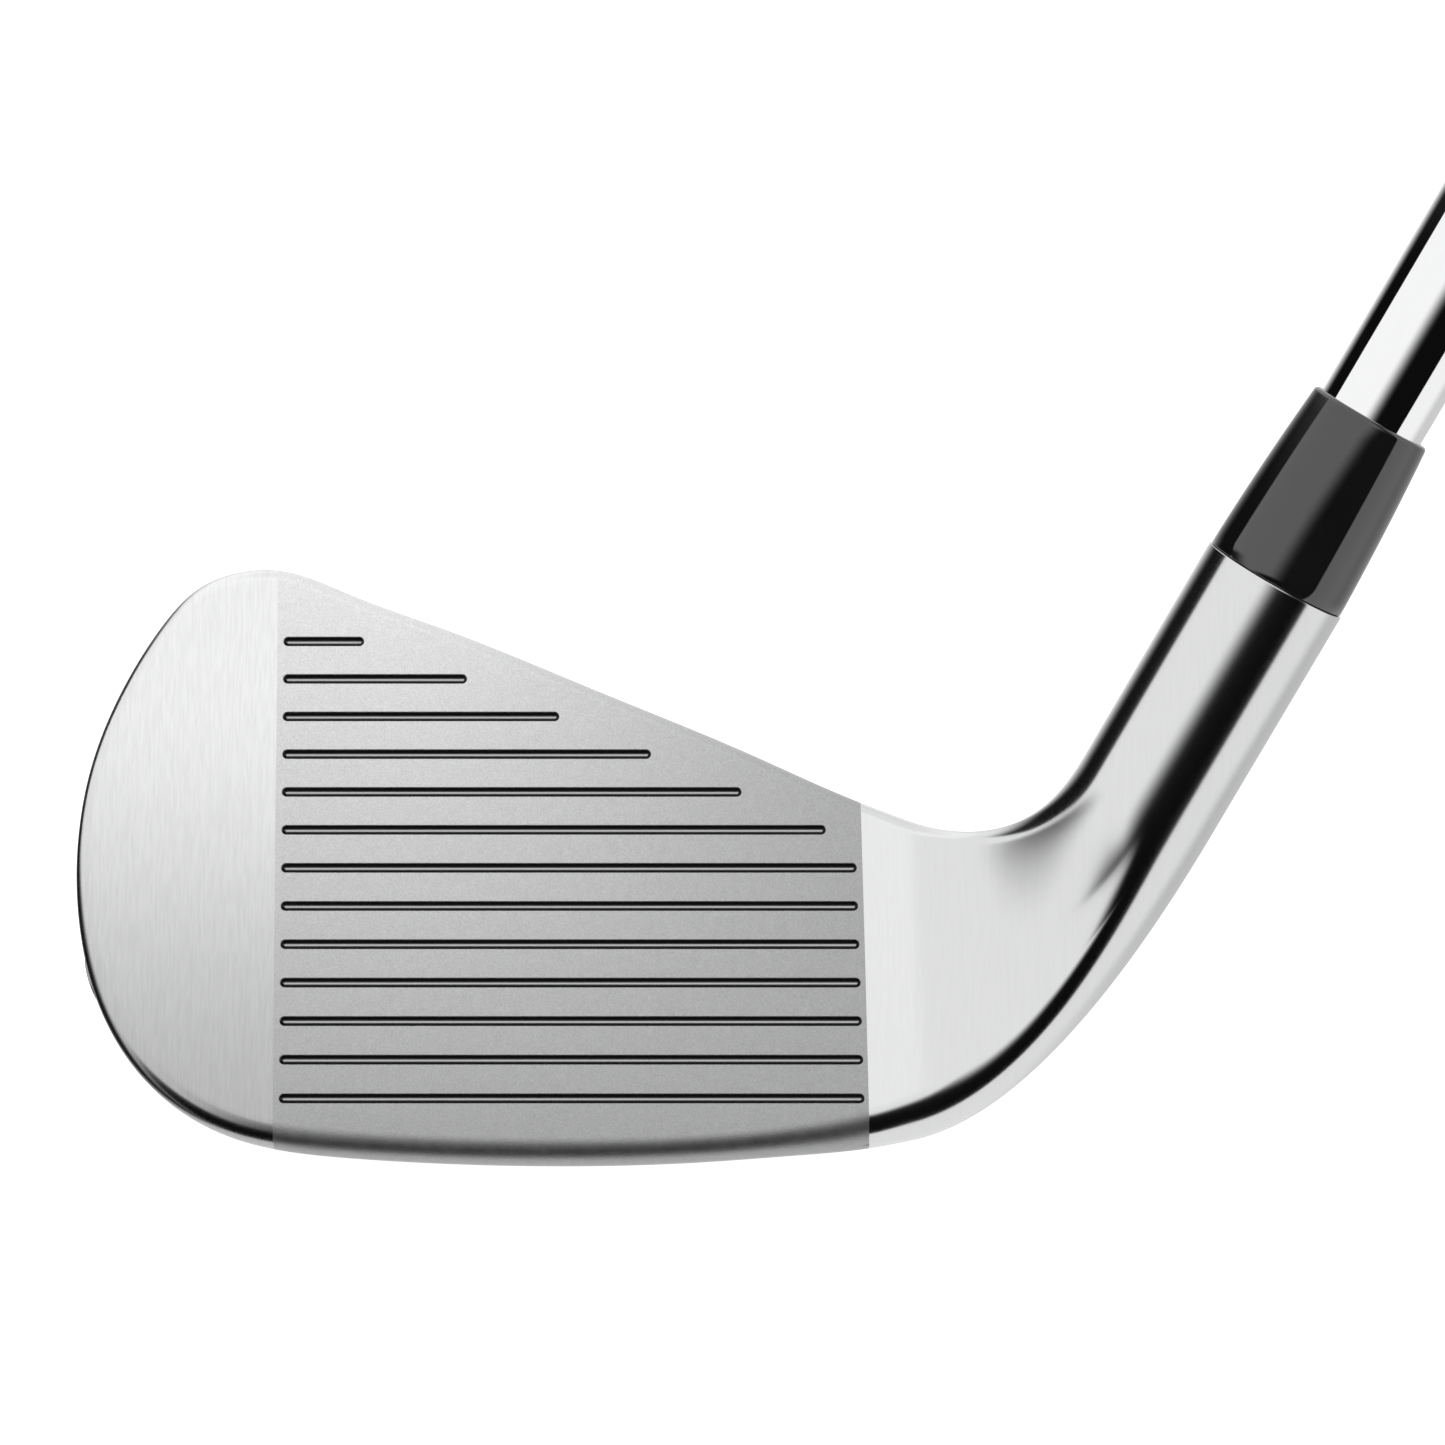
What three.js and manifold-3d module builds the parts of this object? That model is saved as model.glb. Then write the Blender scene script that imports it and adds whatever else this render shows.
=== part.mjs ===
// Iron golf club, right-handed, standing at address: +X from toe to heel, the face looks to -Y, +Z up.
// The origin is the point of the sole that touches the ground under the middle of the face.
import * as THREE from 'three';
import { mergeVertices } from 'three/addons/utils/BufferGeometryUtils.js';
import Module from 'manifold-3d';

const wasm = await Module();
wasm.setup();

// ---- Driving dimensions, millimetres and radians ----
const degree = Math.PI / 180;
const loft = 22 * degree;                // face leaning back from the vertical
const lie = 60.7 * degree;               // shaft axis above the ground
const clubLength = 984;                  // along the shaft axis, ground to the end of the grip

const hoselAxisY = -3.5;                 // the shaft axis runs this far in front of the sole's contact point
const axisGroundX = 33.2;                // where the shaft axis meets the ground
const hoselTopAlong = 64.3;              // along the axis from the ground to the hosel's rim
const hoselStraight = 23;                // straight length of the hosel below its rim
const hoselRadius = 6.9;
const hoselBevel = 0.35;
const boreRadius = 5.35;
const boreDepth = 28;
const drillTip = 1.5;                    // cone at the bottom of the bore

const faceFootY = hoselAxisY - 5.9;      // the face plane meets the ground line here
const leadingRadius = 2.4;               // rounding from the face into the sole
const toplineRadius = 1.3;
const toplineThickness = 6;
const footDepth = 24;                    // face to back envelope, at the ground line
const envelopeHeight = 58;               // height up the face at which the back runs parallel to it
const envelopePower = 2.6;
const soleRise = 4;                      // back edge of the sole above its front edge, up the face
const wallDraft = 0.9;
const soleCamber = 0.33;
const soleBackExtra = 0.9;               // the sole's back edge is this much rounder than the topline's
const neckLeave = 1;                     // how firmly the neck follows the blade, then the hosel
const neckArrive = 0.9;
const neckEase = 0.1;                    // both are a little firmer at the rim towards the toe

const insertThickness = 2.4;
const insertSoleBack = 4;                // the insert wraps under the sole up to this Y
const insertSoleHeight = 3.2;
const gap = 0.3;
const clearance = gap / 2;               // a piece inside stays this far from each wall
const beyond = 3;                        // cutters run this far past what they cut
const cutterSpan = 200;                  // longer than the head
const throughHead = 30;                  // deeper than the head

const grooveCount = 13;
const groovePitch = 3.607;
const grooveFirst = 8.38;                // lowest groove, up the face from the ground line
const grooveWidth = 0.9;
const grooveDepth = 0.45;
const grooveInset = 0.55;                // from the finish border to a groove's end
const grooveBelowTopline = 4.2;

const ferruleLength = 16.8;
const ferruleBaseRadius = 6.75;
const ferruleTopRadius = 5.8;
const ferruleBore = 5.25;
const ferruleSwell = 0.12;
const ferruleRim = 0.5;                  // rounding at its upper end

const shaftTipRadius = 4.7;              // inside the bore
const shaftLowRadius = 5.1;              // above the ferrule
const shaftButtRadius = 7.62;
const shaftTipWall = 0.7;
const shaftWall = 0.36;
const wallTaper = 400;                   // the wall thins over this length from the tip
const tipClearance = 1.2;                // above the bottom of the bore
const buttClearance = 3.2;               // below the end of the grip
const tipEase = 8;                       // the tip widens over this length inside the ferrule
const stepLength = 1.5;
const stepCount = 13;
const stepPitch = 44.45;
const firstStepAbove = 190;              // above the hosel's rim
const bandAbove = 150;                   // label sleeve, above the hosel's rim
const bandLength = 36;

const gripLength = 267;
const gripMouthRadius = 9.9;
const gripButtRadius = 13.6;
const mouthRounding = 1.5;
const tapeThickness = 0.4;
const plugRadius = 6.6;                  // the cap's plug inside the shaft
const plugLength = 12;
const capRounding = 2.4;
const capLength = 6;
const ventRadius = 1.6;

// ---- Head outline, as (x, distance up the face from the ground line) ----
const toeOutline = [
  [-27.9, 58.8], [-31.5, 58.65], [-35.4, 57.1], [-38.9, 53.4], [-42.3, 47.7], [-45.2, 40.2], [-46.4, 32],
  [-46, 24.3], [-43.9, 16.8], [-39.85, 10.5], [-35.1, 6.65], [-30.8, 4.75], [-27.5, 3.95],
];
const topline = [[-27.9, 58.8], [-21.2, 56.5], [-11.6, 52.9], [2, 47.3], [16.7, 41.1], [26, 36.9], [31.5, 34.75]];
const soleLine = [[-27.5, 3.95], [-20.7, 3.15], [-11, 2.6], [0, 2.4], [12, 2.75], [21.4, 3.45], [28.2, 4.2], [33, 5.2]];
const toeCentre = new THREE.Vector2(-27.7, 31);
const borderTopX = 27.1;                 // finish border on the heel side, at the topline
const borderSoleX = 28;
const borderTopUp = 36;                  // height up the face at which the border meets the topline
const heelTopX = 31.3;                   // last blade section, at the topline
const heelSoleX = 32;

// How finely the head is divided
const bladeStations = 9;
const heelStations = 1;
const toeStations = 18;
const neckStations = 9;
const profileSteps = { front: 2, frontArc: 3, wall: 4, backArc: 2, back: 4 };

// ---- Small geometry helpers ----
function toSolid(geometry) {
  const plain = geometry.clone();
  plain.deleteAttribute('normal');
  plain.deleteAttribute('uv');
  const merged = mergeVertices(plain, 1e-4);
  const index = merged.index.array;
  const triVerts = [];
  for (let i = 0; i < index.length; i += 3) {
    const [a, b, c] = [index[i], index[i + 1], index[i + 2]];
    if (a !== b && b !== c && a !== c) triVerts.push(a, b, c);
  }
  const vertProperties = new Float32Array(merged.attributes.position.array);
  return new wasm.Manifold(new wasm.Mesh({ numProp: 3, vertProperties, triVerts: new Uint32Array(triVerts) }));
}

function toGeometry(solid) {
  const mesh = solid.getMesh();
  const geometry = new THREE.BufferGeometry();
  geometry.setAttribute('position', new THREE.BufferAttribute(mesh.vertProperties, 3));
  geometry.setIndex(new THREE.BufferAttribute(mesh.triVerts, 1));
  geometry.computeVertexNormals();
  return geometry;
}

function makeMesh(name, geometry, look) {
  const mesh = new THREE.Mesh(geometry, new THREE.MeshStandardMaterial(look));
  mesh.name = name;
  return mesh;
}

// Face frame: x along the blade, up along the face, into the head at right angles to the face
const faceFrame = new THREE.Matrix4().makeBasis(
  new THREE.Vector3(1, 0, 0),
  new THREE.Vector3(0, Math.sin(loft), Math.cos(loft)),
  new THREE.Vector3(0, -Math.cos(loft), Math.sin(loft)),
).setPosition(0, faceFootY, 0);

function onFace(x, up, into) {
  return new THREE.Vector3(x, up, -into).applyMatrix4(faceFrame);
}

// Shaft frame: Z along the shaft axis from the ground up
const shaftDirection = new THREE.Vector3(Math.cos(lie), 0, Math.sin(lie));
const innerSide = new THREE.Vector3(-Math.sin(lie), 0, Math.cos(lie));
const shaftFrame = new THREE.Matrix4().makeBasis(
  innerSide.clone().negate(),
  new THREE.Vector3(0, 1, 0),
  shaftDirection,
).setPosition(axisGroundX, hoselAxisY, 0);

// Solid turned from (radius, along) points about the shaft axis
function turned(points, segments) {
  const outline = points.map(([radius, along]) => new THREE.Vector2(radius, along));
  const geometry = new THREE.LatheGeometry(outline, segments);
  geometry.rotateX(Math.PI / 2);
  return geometry;
}

function tube(inner, outer, from, to, segments) {
  return turned([[inner, from], [outer, from], [outer, to], [inner, to], [inner, from]], segments);
}

function rod(radius, from, to, segments) {
  return turned([[0, from], [radius, from], [radius, to], [0, to]], segments);
}

function onShaft(geometry) {
  return geometry.applyMatrix4(shaftFrame);
}

// Prism in the face frame over a polygon of (x, up) points, between two depths
function facePrism(polygon, fromDepth, toDepth) {
  const shape = new THREE.Shape(polygon.map(([x, up]) => new THREE.Vector2(x, up)));
  const geometry = new THREE.ExtrudeGeometry(shape, { depth: toDepth - fromDepth, bevelEnabled: false });
  geometry.translate(0, 0, -toDepth);
  return toSolid(geometry.applyMatrix4(faceFrame));
}

function faceBlock(x0, x1, up0, up1, depth0, depth1) {
  return facePrism([[x0, up0], [x1, up0], [x1, up1], [x0, up1]], depth0, depth1);
}

// ---- Head shell: half-sections that run from a spine, round the rim, to the back ----
function backDepth(up) {
  const fall = Math.max(0, 1 - up / envelopeHeight);
  return toplineThickness + (footDepth - toplineThickness) * fall ** envelopePower;
}

function outlineCurve(points) {
  return new THREE.SplineCurve(points.map(([x, up]) => new THREE.Vector2(x, up)));
}

function outlineAt(curve, x) {
  let low = 0;
  let high = 1;
  for (let i = 0; i < 30; i += 1) {
    const middle = (low + high) / 2;
    if (curve.getPoint(middle).x < x) low = middle;
    else high = middle;
  }
  return curve.getPoint(low);
}

function bezier(a, b, c, t) {
  return (1 - t) ** 2 * a + 2 * t * (1 - t) * b + t ** 2 * c;
}

// One half-section in the blade, from the spine point out to the rim point and back behind it
function bladeProfile(rim, spine) {
  const inward = spine.clone().sub(rim);
  const reach = inward.length();
  inward.divideScalar(reach);
  const down = Math.max(0, inward.y) ** 2;            // 1 on the sole, 0 on the toe and topline
  const radius = toplineRadius + (leadingRadius - toplineRadius) * down;
  const draft = wallDraft + (soleRise - wallDraft) * down;
  const backRadius = toplineRadius + soleBackExtra * down;
  const upAt = (offset) => rim.y + inward.y * offset;
  const wallEnd = backDepth(upAt(draft)) - backRadius;
  const points = [];
  const add = (offset, depth) => points.push(onFace(rim.x + inward.x * offset, upAt(offset), depth));
  const { front, frontArc, wall, backArc, back } = profileSteps;
  for (let i = 0; i < front; i += 1) add(reach + (radius - reach) * (i / front), 0);
  for (let i = 0; i < frontArc; i += 1) {
    const angle = (i / frontArc) * (Math.PI / 2);
    add(radius * (1 - Math.sin(angle)), radius * (1 - Math.cos(angle)));
  }
  for (let i = 0; i < wall; i += 1) {
    const t = i / wall;
    add(bezier(0, 0, draft, t), bezier(radius, radius + soleCamber * (wallEnd - radius), wallEnd, t));
  }
  for (let i = 0; i < backArc; i += 1) {
    const t = i / backArc;
    const end = draft + backRadius;
    add(bezier(draft, draft + 0.2 * backRadius, end, t), bezier(wallEnd, wallEnd + backRadius, backDepth(upAt(end)), t));
  }
  for (let i = 0; i <= back; i += 1) {
    const offset = draft + backRadius + (reach - draft - backRadius) * (i / back);
    add(offset, backDepth(upAt(offset)));
  }
  return points;
}

// The matching half-circle on the hosel; side is +1 towards the toe, -1 towards the heel
function hoselProfile(along, side, radius) {
  const { front, frontArc, wall, backArc, back } = profileSteps;
  const spans = [[front, 56], [frontArc, 20], [wall, 28], [backArc, 20], [back, 56]];
  const angles = [0];
  for (const [count, span] of spans) {
    for (let i = 0; i < count; i += 1) angles.push(angles.at(-1) + (span / count) * degree);
  }
  const centre = new THREE.Vector3(axisGroundX, hoselAxisY, 0).addScaledVector(shaftDirection, along);
  return angles.map((angle) => centre.clone()
    .addScaledVector(new THREE.Vector3(0, -1, 0), radius * Math.cos(angle))
    .addScaledVector(innerSide, side * radius * Math.sin(angle)));
}

// Smooth curve from the last blade section to the first hosel ring, point by point
function neckProfile(before, start, end, side, t) {
  return start.map((point, i) => {
    const rim = side * Math.sin((Math.PI * i) / (start.length - 1));
    const chord = point.distanceTo(end[i]);
    const leave = point.clone().sub(before[i]).normalize().multiplyScalar(chord * (neckLeave + neckEase * rim));
    const arrive = shaftDirection.clone().multiplyScalar(chord * (neckArrive + neckEase * rim));
    const t2 = t * t;
    const t3 = t2 * t;
    return point.clone().multiplyScalar(2 * t3 - 3 * t2 + 1)
      .addScaledVector(leave, t3 - 2 * t2 + t)
      .addScaledVector(end[i], -2 * t3 + 3 * t2)
      .addScaledVector(arrive, t3 - t2);
  });
}

// All half-sections of one side, from the toe centre to the hosel's rim
function sideProfiles(rimAt, side) {
  const spineAt = (f) => {
    const top = outlineAt(toplineCurve, toeTop.x + (heelTopX - toeTop.x) * f);
    const sole = outlineAt(soleCurve, toeSole.x + (heelSoleX - toeSole.x) * f);
    return new THREE.Vector2((top.x + sole.x) / 2, toeCentre.y + ((top.y + sole.y) / 2 - toeCentre.y) * f);
  };
  const border = (borderTopX - toeTop.x) / (heelTopX - toeTop.x);
  const fractions = [];
  for (let i = 0; i <= bladeStations; i += 1) fractions.push((border * i) / bladeStations);
  for (let i = 1; i <= heelStations; i += 1) fractions.push(border + ((1 - border) * i) / heelStations);
  const profiles = fractions.map((f) => bladeProfile(rimAt(f), spineAt(f)));
  const before = bladeProfile(rimAt(0.99), spineAt(0.99));
  const start = profiles.at(-1);
  const end = hoselProfile(hoselTopAlong - hoselStraight, side, hoselRadius);
  for (let i = 1; i < neckStations; i += 1) profiles.push(neckProfile(before, start, end, side, i / neckStations));
  profiles.push(end);
  profiles.push(hoselProfile(hoselTopAlong - hoselBevel, side, hoselRadius));
  profiles.push(hoselProfile(hoselTopAlong, side, hoselRadius - hoselBevel));
  return profiles;
}

const toplineCurve = outlineCurve(topline);
const soleCurve = outlineCurve(soleLine);
const toeCurve = outlineCurve(toeOutline);
const toeTop = toeCurve.getPoint(0);
const toeSole = toeCurve.getPoint(1);

function headShell() {
  const topSide = sideProfiles((f) => outlineAt(toplineCurve, toeTop.x + (heelTopX - toeTop.x) * f), 1);
  const soleSide = sideProfiles((f) => outlineAt(soleCurve, toeSole.x + (heelSoleX - toeSole.x) * f), -1);
  const rows = topSide.slice().reverse();
  for (let i = 1; i < toeStations; i += 1) {
    rows.push(bladeProfile(toeCurve.getPointAt(i / toeStations), toeCentre));
  }
  rows.push(...soleSide);
  const positions = [];
  const addTriangle = (a, b, c) => positions.push(...a.toArray(), ...b.toArray(), ...c.toArray());
  for (let i = 0; i + 1 < rows.length; i += 1) {
    for (let j = 0; j + 1 < rows[i].length; j += 1) {
      addTriangle(rows[i][j], rows[i][j + 1], rows[i + 1][j]);
      addTriangle(rows[i + 1][j], rows[i][j + 1], rows[i + 1][j + 1]);
    }
  }
  const centre = new THREE.Vector3(axisGroundX, hoselAxisY, 0).addScaledVector(shaftDirection, hoselTopAlong);
  const first = rows[0];
  const last = rows.at(-1);
  for (let j = 0; j + 1 < first.length; j += 1) {
    addTriangle(centre, first[j + 1], first[j]);
    addTriangle(centre, last[j], last[j + 1]);
  }
  const geometry = new THREE.BufferGeometry();
  geometry.setAttribute('position', new THREE.Float32BufferAttribute(positions, 3));
  return geometry;
}

// ---- Head pieces ----
const headSolid = toSolid(headShell());

const heelBorderX = (up) => borderSoleX + ((borderTopX - borderSoleX) * up) / borderTopUp;
const toeBorderX = (up) => toeSole.x + ((toeTop.x - toeSole.x) * up) / toeTop.y;

function borderPrism(shift, depth) {
  const [foot, crown] = [-8, 66];        // below and above the whole head
  const corners = [
    [toeBorderX(foot) - shift, foot], [heelBorderX(foot) + shift, foot],
    [heelBorderX(crown) + shift, crown], [toeBorderX(crown) - shift, crown],
  ];
  return facePrism(corners, -beyond, depth);
}

// Straight-sided block under the sole, part of the insert's wrap round the leading edge
function soleWrap(shift) {
  const front = faceFootY - beyond;
  const back = insertSoleBack + shift;
  const top = insertSoleHeight + shift;
  const wrap = new THREE.BoxGeometry(cutterSpan, back - front, top + beyond);
  wrap.translate(0, (back + front) / 2, (top - beyond) / 2);
  return toSolid(wrap).intersect(borderPrism(shift, throughHead));
}

// Everything that lies in the insert's region; shift grows it by the gap on every side
function insertRegion(shift) {
  return borderPrism(shift, insertThickness + shift).add(soleWrap(shift));
}

function groove(index) {
  const up = grooveFirst + groovePitch * index;
  const half = grooveWidth / 2;
  const left = toeBorderX(up) + grooveInset + half;
  const border = heelBorderX(up) - grooveInset - half;
  const underTopline = outlineX(up + grooveBelowTopline) - half;
  const right = Math.min(border, underTopline);
  const shape = new THREE.Shape();
  shape.absarc(left, up, half, 90 * degree, 270 * degree);
  shape.absarc(right, up, half, -90 * degree, 90 * degree);
  const geometry = new THREE.ExtrudeGeometry(shape, { depth: grooveDepth + beyond, bevelEnabled: false, curveSegments: 4 });
  geometry.translate(0, 0, -grooveDepth);
  return toSolid(geometry.applyMatrix4(faceFrame));
}

// Where the topline stands at a given height up the face
function outlineX(up) {
  const points = toplineCurve.getPoints(200);
  return points.find((point) => point.y < up)?.x ?? borderTopX;
}

function faceInsert() {
  let solid = headSolid.intersect(insertRegion(0));
  for (let i = 0; i < grooveCount; i += 1) solid = solid.subtract(groove(i));
  return solid;
}

// Hollow behind the insert, with a bay for each weight; every bay opens into the middle of the hollow
const chamber = { x: [-24.2, 24.2], up: [8, 21.5], depth: [2, 7.8] };
const toeBay = [[-37.5, 13.6], [-34, 10.6], [-23, 10], [-23, 16.5], [-37.5, 16.5]];
const heelBay = [[23, 10], [31.2, 10.4], [31.2, 16.5], [23, 16.5]];
const bayDepth = [3.6, 9.8];
const weightShare = 0.9;                 // a weight's outline against its bay's
const portBay = { x: [-37.5, -23], up: [16, 22.2], depth: [3.6, 8.4] };
const portAt = { up: 19.5, depth: 5.8 }; // filling port, along X through the toe wall
const portRadius = 2.2;
const seatX = -41.6;                     // the screw's head stands on a seal against this face
const seatRadius = 3.4;
const seatGap = 0.2;
const sealSpace = 0.9;                   // between the seat and the screw's head
const sealRadius = 3.1;
const outsideToe = -50;
const portEnd = -38;                     // inside the bay for the toe weight
const screwEnd = -39;
const recessRadius = 1.35;
const recessEnd = -43.5;

// Open cavity in the back of the blade, with a floor parallel to the face
const backCavity = [
  [-36.5, 24.5], [-39.6, 27.5], [-40.6, 33], [-38.6, 42], [-34.6, 50], [-31.2, 53], [-27, 52.9],
  [20, 33.2], [24, 29.5], [24.5, 26.5], [22.5, 24.5],
];
const cavityFloor = 4.9;

// Back plate: follows the back of the head over a band between two heights
const plate = { x: [-21, 21], up: [11, 20], thickness: 1.4, padThickness: 0.8 };

function block(box, by = 0) {
  const [x, up, depth] = [box.x, box.up, box.depth].map(([low, high]) => [low - by, high + by]);
  return faceBlock(...x, ...up, ...depth);
}

function hollow() {
  return block(chamber).add(block(portBay)).add(facePrism(toeBay, ...bayDepth)).add(facePrism(heelBay, ...bayDepth));
}

// Slug that fills a bay but for a gap all round
function weight(bay) {
  const middle = bay.reduce((sum, point) => [sum[0] + point[0] / bay.length, sum[1] + point[1] / bay.length], [0, 0]);
  const outline = bay.map((point) => point.map((value, i) => middle[i] + (value - middle[i]) * weightShare));
  return facePrism(outline, bayDepth[0] + gap, bayDepth[1] - gap);
}

// Slab between two depths below the back surface, over the plate's band
function backSlab(by, shallow, deep) {
  const [low, high] = [plate.up[0] - by, plate.up[1] + by];
  const [x0, x1] = [plate.x[0] - by, plate.x[1] + by];
  const section = new THREE.Shape([
    new THREE.Vector2(low, backDepth(low) - deep),
    new THREE.Vector2(high, backDepth(high) - deep),
    new THREE.Vector2(high, backDepth(high) - shallow),
    new THREE.Vector2(low, backDepth(low) - shallow),
  ]);
  const geometry = new THREE.ExtrudeGeometry(section, { depth: x1 - x0, bevelEnabled: false });
  geometry.applyMatrix4(new THREE.Matrix4().makeBasis(
    new THREE.Vector3(0, 1, 0), new THREE.Vector3(0, 0, -1), new THREE.Vector3(-1, 0, 0),
  ));
  geometry.translate(x1, 0, 0);
  return toSolid(geometry.applyMatrix4(faceFrame));
}

// Cylinder along X, through the port's axis
function portCylinder(radius, x0, x1, segments = 24) {
  const cylinder = new THREE.CylinderGeometry(radius, radius, x1 - x0, segments);
  cylinder.rotateZ(Math.PI / 2);
  const at = onFace((x0 + x1) / 2, portAt.up, portAt.depth);
  cylinder.translate(at.x, at.y, at.z);
  return toSolid(cylinder);
}

function belowGround() {
  const slab = new THREE.BoxGeometry(cutterSpan, cutterSpan, 2 * beyond);
  slab.translate(0, 0, -beyond);
  return toSolid(slab);
}

function bore() {
  const from = hoselTopAlong - boreDepth;
  const end = hoselTopAlong + beyond;
  const tip = [[0, from - drillTip], [boreRadius, from], [boreRadius, end], [0, end]];
  return toSolid(onShaft(turned(tip, 32)));
}

function headBody() {
  return headSolid.subtract(insertRegion(gap))
    .subtract(hollow())
    .subtract(facePrism(backCavity, cavityFloor, throughHead))
    .subtract(backSlab(gap, -3, plate.thickness + plate.padThickness + 2 * gap))
    .subtract(portCylinder(portRadius + clearance, outsideToe, portEnd))
    .subtract(portCylinder(seatRadius + seatGap, outsideToe, seatX))
    .subtract(bore());
}

// Filler: a slab behind the insert and a leg over the toe weight
function polymerCore() {
  const slab = { x: [-22, 22], up: [8.3, 21.2], depth: [insertThickness + gap, 7.5] };
  const leg = { x: [-37.2, -21], up: [16.8, 21.2], depth: [3.9, 7.5] };
  return block(slab).add(block(leg));
}

function backPlate() {
  return headSolid.intersect(backSlab(0, -3, plate.thickness));
}

function backPad() {
  return backSlab(-0.8, plate.thickness + gap, plate.thickness + gap + plate.padThickness);
}

// Head flush with the toe, shank through the port, and a six-sided recess
function toeScrew() {
  const head = portCylinder(seatRadius, outsideToe, seatX - sealSpace).intersect(headSolid);
  const shank = portCylinder(portRadius - clearance, seatX - sealSpace - 0.1, screwEnd);
  return head.add(shank).subtract(portCylinder(recessRadius, outsideToe, recessEnd, 6));
}

function screwSeal() {
  return portCylinder(sealRadius, seatX - sealSpace + clearance, seatX - clearance)
    .subtract(portCylinder(portRadius + 0.1, seatX - beyond, seatX + beyond));
}

// ---- Shaft, ferrule and grip ----
function ferrule() {
  const base = hoselTopAlong + gap;
  const top = base + ferruleLength;
  return turned([
    [ferruleBore, base],
    [ferruleBaseRadius, base],
    [(ferruleBaseRadius + ferruleTopRadius) / 2 + ferruleSwell, (base + top) / 2],
    [ferruleTopRadius, top - ferruleRim],
    [ferruleTopRadius - ferruleRim / 2, top - ferruleRim / 4],
    [ferruleTopRadius - ferruleRim, top],
    [ferruleBore, top],
    [ferruleBore, base],
  ], 32);
}

const shaftStart = hoselTopAlong - boreDepth + tipClearance;
const shaftEnd = clubLength - buttClearance;

// Outer radius of the stepped tube, as (radius, along) pairs from the tip to the butt
function shaftOutside() {
  const rise = (shaftButtRadius - shaftLowRadius) / stepCount;
  const points = [[shaftTipRadius, shaftStart], [shaftTipRadius, hoselTopAlong], [shaftLowRadius, hoselTopAlong + tipEase]];
  for (let i = 0; i < stepCount; i += 1) {
    const along = hoselTopAlong + firstStepAbove + stepPitch * i;
    const radius = shaftLowRadius + rise * i;
    points.push([radius, along], [radius + rise, along + stepLength]);
  }
  points.push([shaftButtRadius, shaftEnd]);
  return points;
}

function shaft() {
  const outside = shaftOutside();
  const wallAt = (along) => shaftTipWall + (shaftWall - shaftTipWall) * Math.min(1, (along - shaftStart) / wallTaper);
  const inside = outside.map(([radius, along]) => [radius - wallAt(along), along]).reverse();
  return turned([...outside, ...inside, outside[0]], 20);
}

function grip() {
  const from = clubLength - gripLength;
  const to = clubLength - capLength;
  const core = shaftButtRadius + tapeThickness + gap + 0.05;
  const taper = (along) => gripMouthRadius + (gripButtRadius - gripMouthRadius) * ((along - from) / gripLength) ** 1.3;
  const points = [[core, from], [gripMouthRadius - 0.6, from], [gripMouthRadius, from + mouthRounding]];
  const sections = 8;
  for (let i = 1; i <= sections; i += 1) {
    const along = from + mouthRounding + ((to - from - mouthRounding) * i) / sections;
    points.push([taper(along), along]);
  }
  points.push([core, to], [core, from]);
  return turned(points, 24);
}

function gripCap() {
  const inside = clubLength - capLength + gap;
  const plugFrom = shaftEnd - plugLength;
  const rim = gripButtRadius;
  const flatRadius = rim - capRounding;
  return turned([
    [ventRadius, plugFrom],
    [plugRadius, plugFrom],
    [plugRadius, shaftEnd + gap],
    [shaftButtRadius + 1, shaftEnd + gap],
    [shaftButtRadius + 1, inside],
    [rim, inside],
    [rim, clubLength - capRounding],
    [rim - 0.7, clubLength - 0.7],
    [flatRadius, clubLength],
    [ventRadius, clubLength],
    [ventRadius, plugFrom],
  ], 24);
}

const bandFrom = hoselTopAlong + bandAbove;
const tapeFrom = clubLength - gripLength + 6;
const tapeInside = shaftButtRadius + clearance;
const plugSize = { radius: 3.5, length: 18 };
const looks = {
  chrome: { color: 0xe4e5e6, roughness: 0.08, metalness: 1 },
  blasted: { color: 0xb9babb, roughness: 0.42, metalness: 1 },
  tungsten: { color: 0x6d6e70, roughness: 0.45, metalness: 1 },
  polymer: { color: 0x2f5f8f, roughness: 0.7, metalness: 0 },
  foam: { color: 0x55565a, roughness: 0.9, metalness: 0 },
  darkPlate: { color: 0x2b2c2e, roughness: 0.35, metalness: 0.6 },
  steel: { color: 0x8d8f92, roughness: 0.3, metalness: 1 },
  seal: { color: 0x161616, roughness: 0.6, metalness: 0 },
  adhesive: { color: 0xd6c9a2, roughness: 0.5, metalness: 0 },
  blackPlastic: { color: 0x0b0b0c, roughness: 0.12, metalness: 0 },
  label: { color: 0x3a3c40, roughness: 0.4, metalness: 0 },
  tape: { color: 0xcdbb8e, roughness: 0.8, metalness: 0 },
  rubber: { color: 0x1b1b1c, roughness: 0.8, metalness: 0 },
};

const shaftPieces = {
  hosel_epoxy: [tube(shaftTipRadius + clearance, boreRadius - clearance, shaftStart + 1, hoselTopAlong - 0.5, 32),
    looks.adhesive],
  tip_plug: [rod(plugSize.radius, shaftStart + 1, shaftStart + 1 + plugSize.length, 20), looks.tungsten],
  ferrule: [ferrule(), looks.blackPlastic],
  shaft: [shaft(), looks.chrome],
  shaft_band: [tube(shaftLowRadius + 0.1, shaftLowRadius + 0.25, bandFrom, bandFrom + bandLength, 32), looks.label],
  grip_tape: [tube(tapeInside, tapeInside + tapeThickness, tapeFrom, shaftEnd - 1, 20), looks.tape],
  grip: [grip(), looks.rubber],
  grip_cap: [gripCap(), looks.rubber],
};

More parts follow.
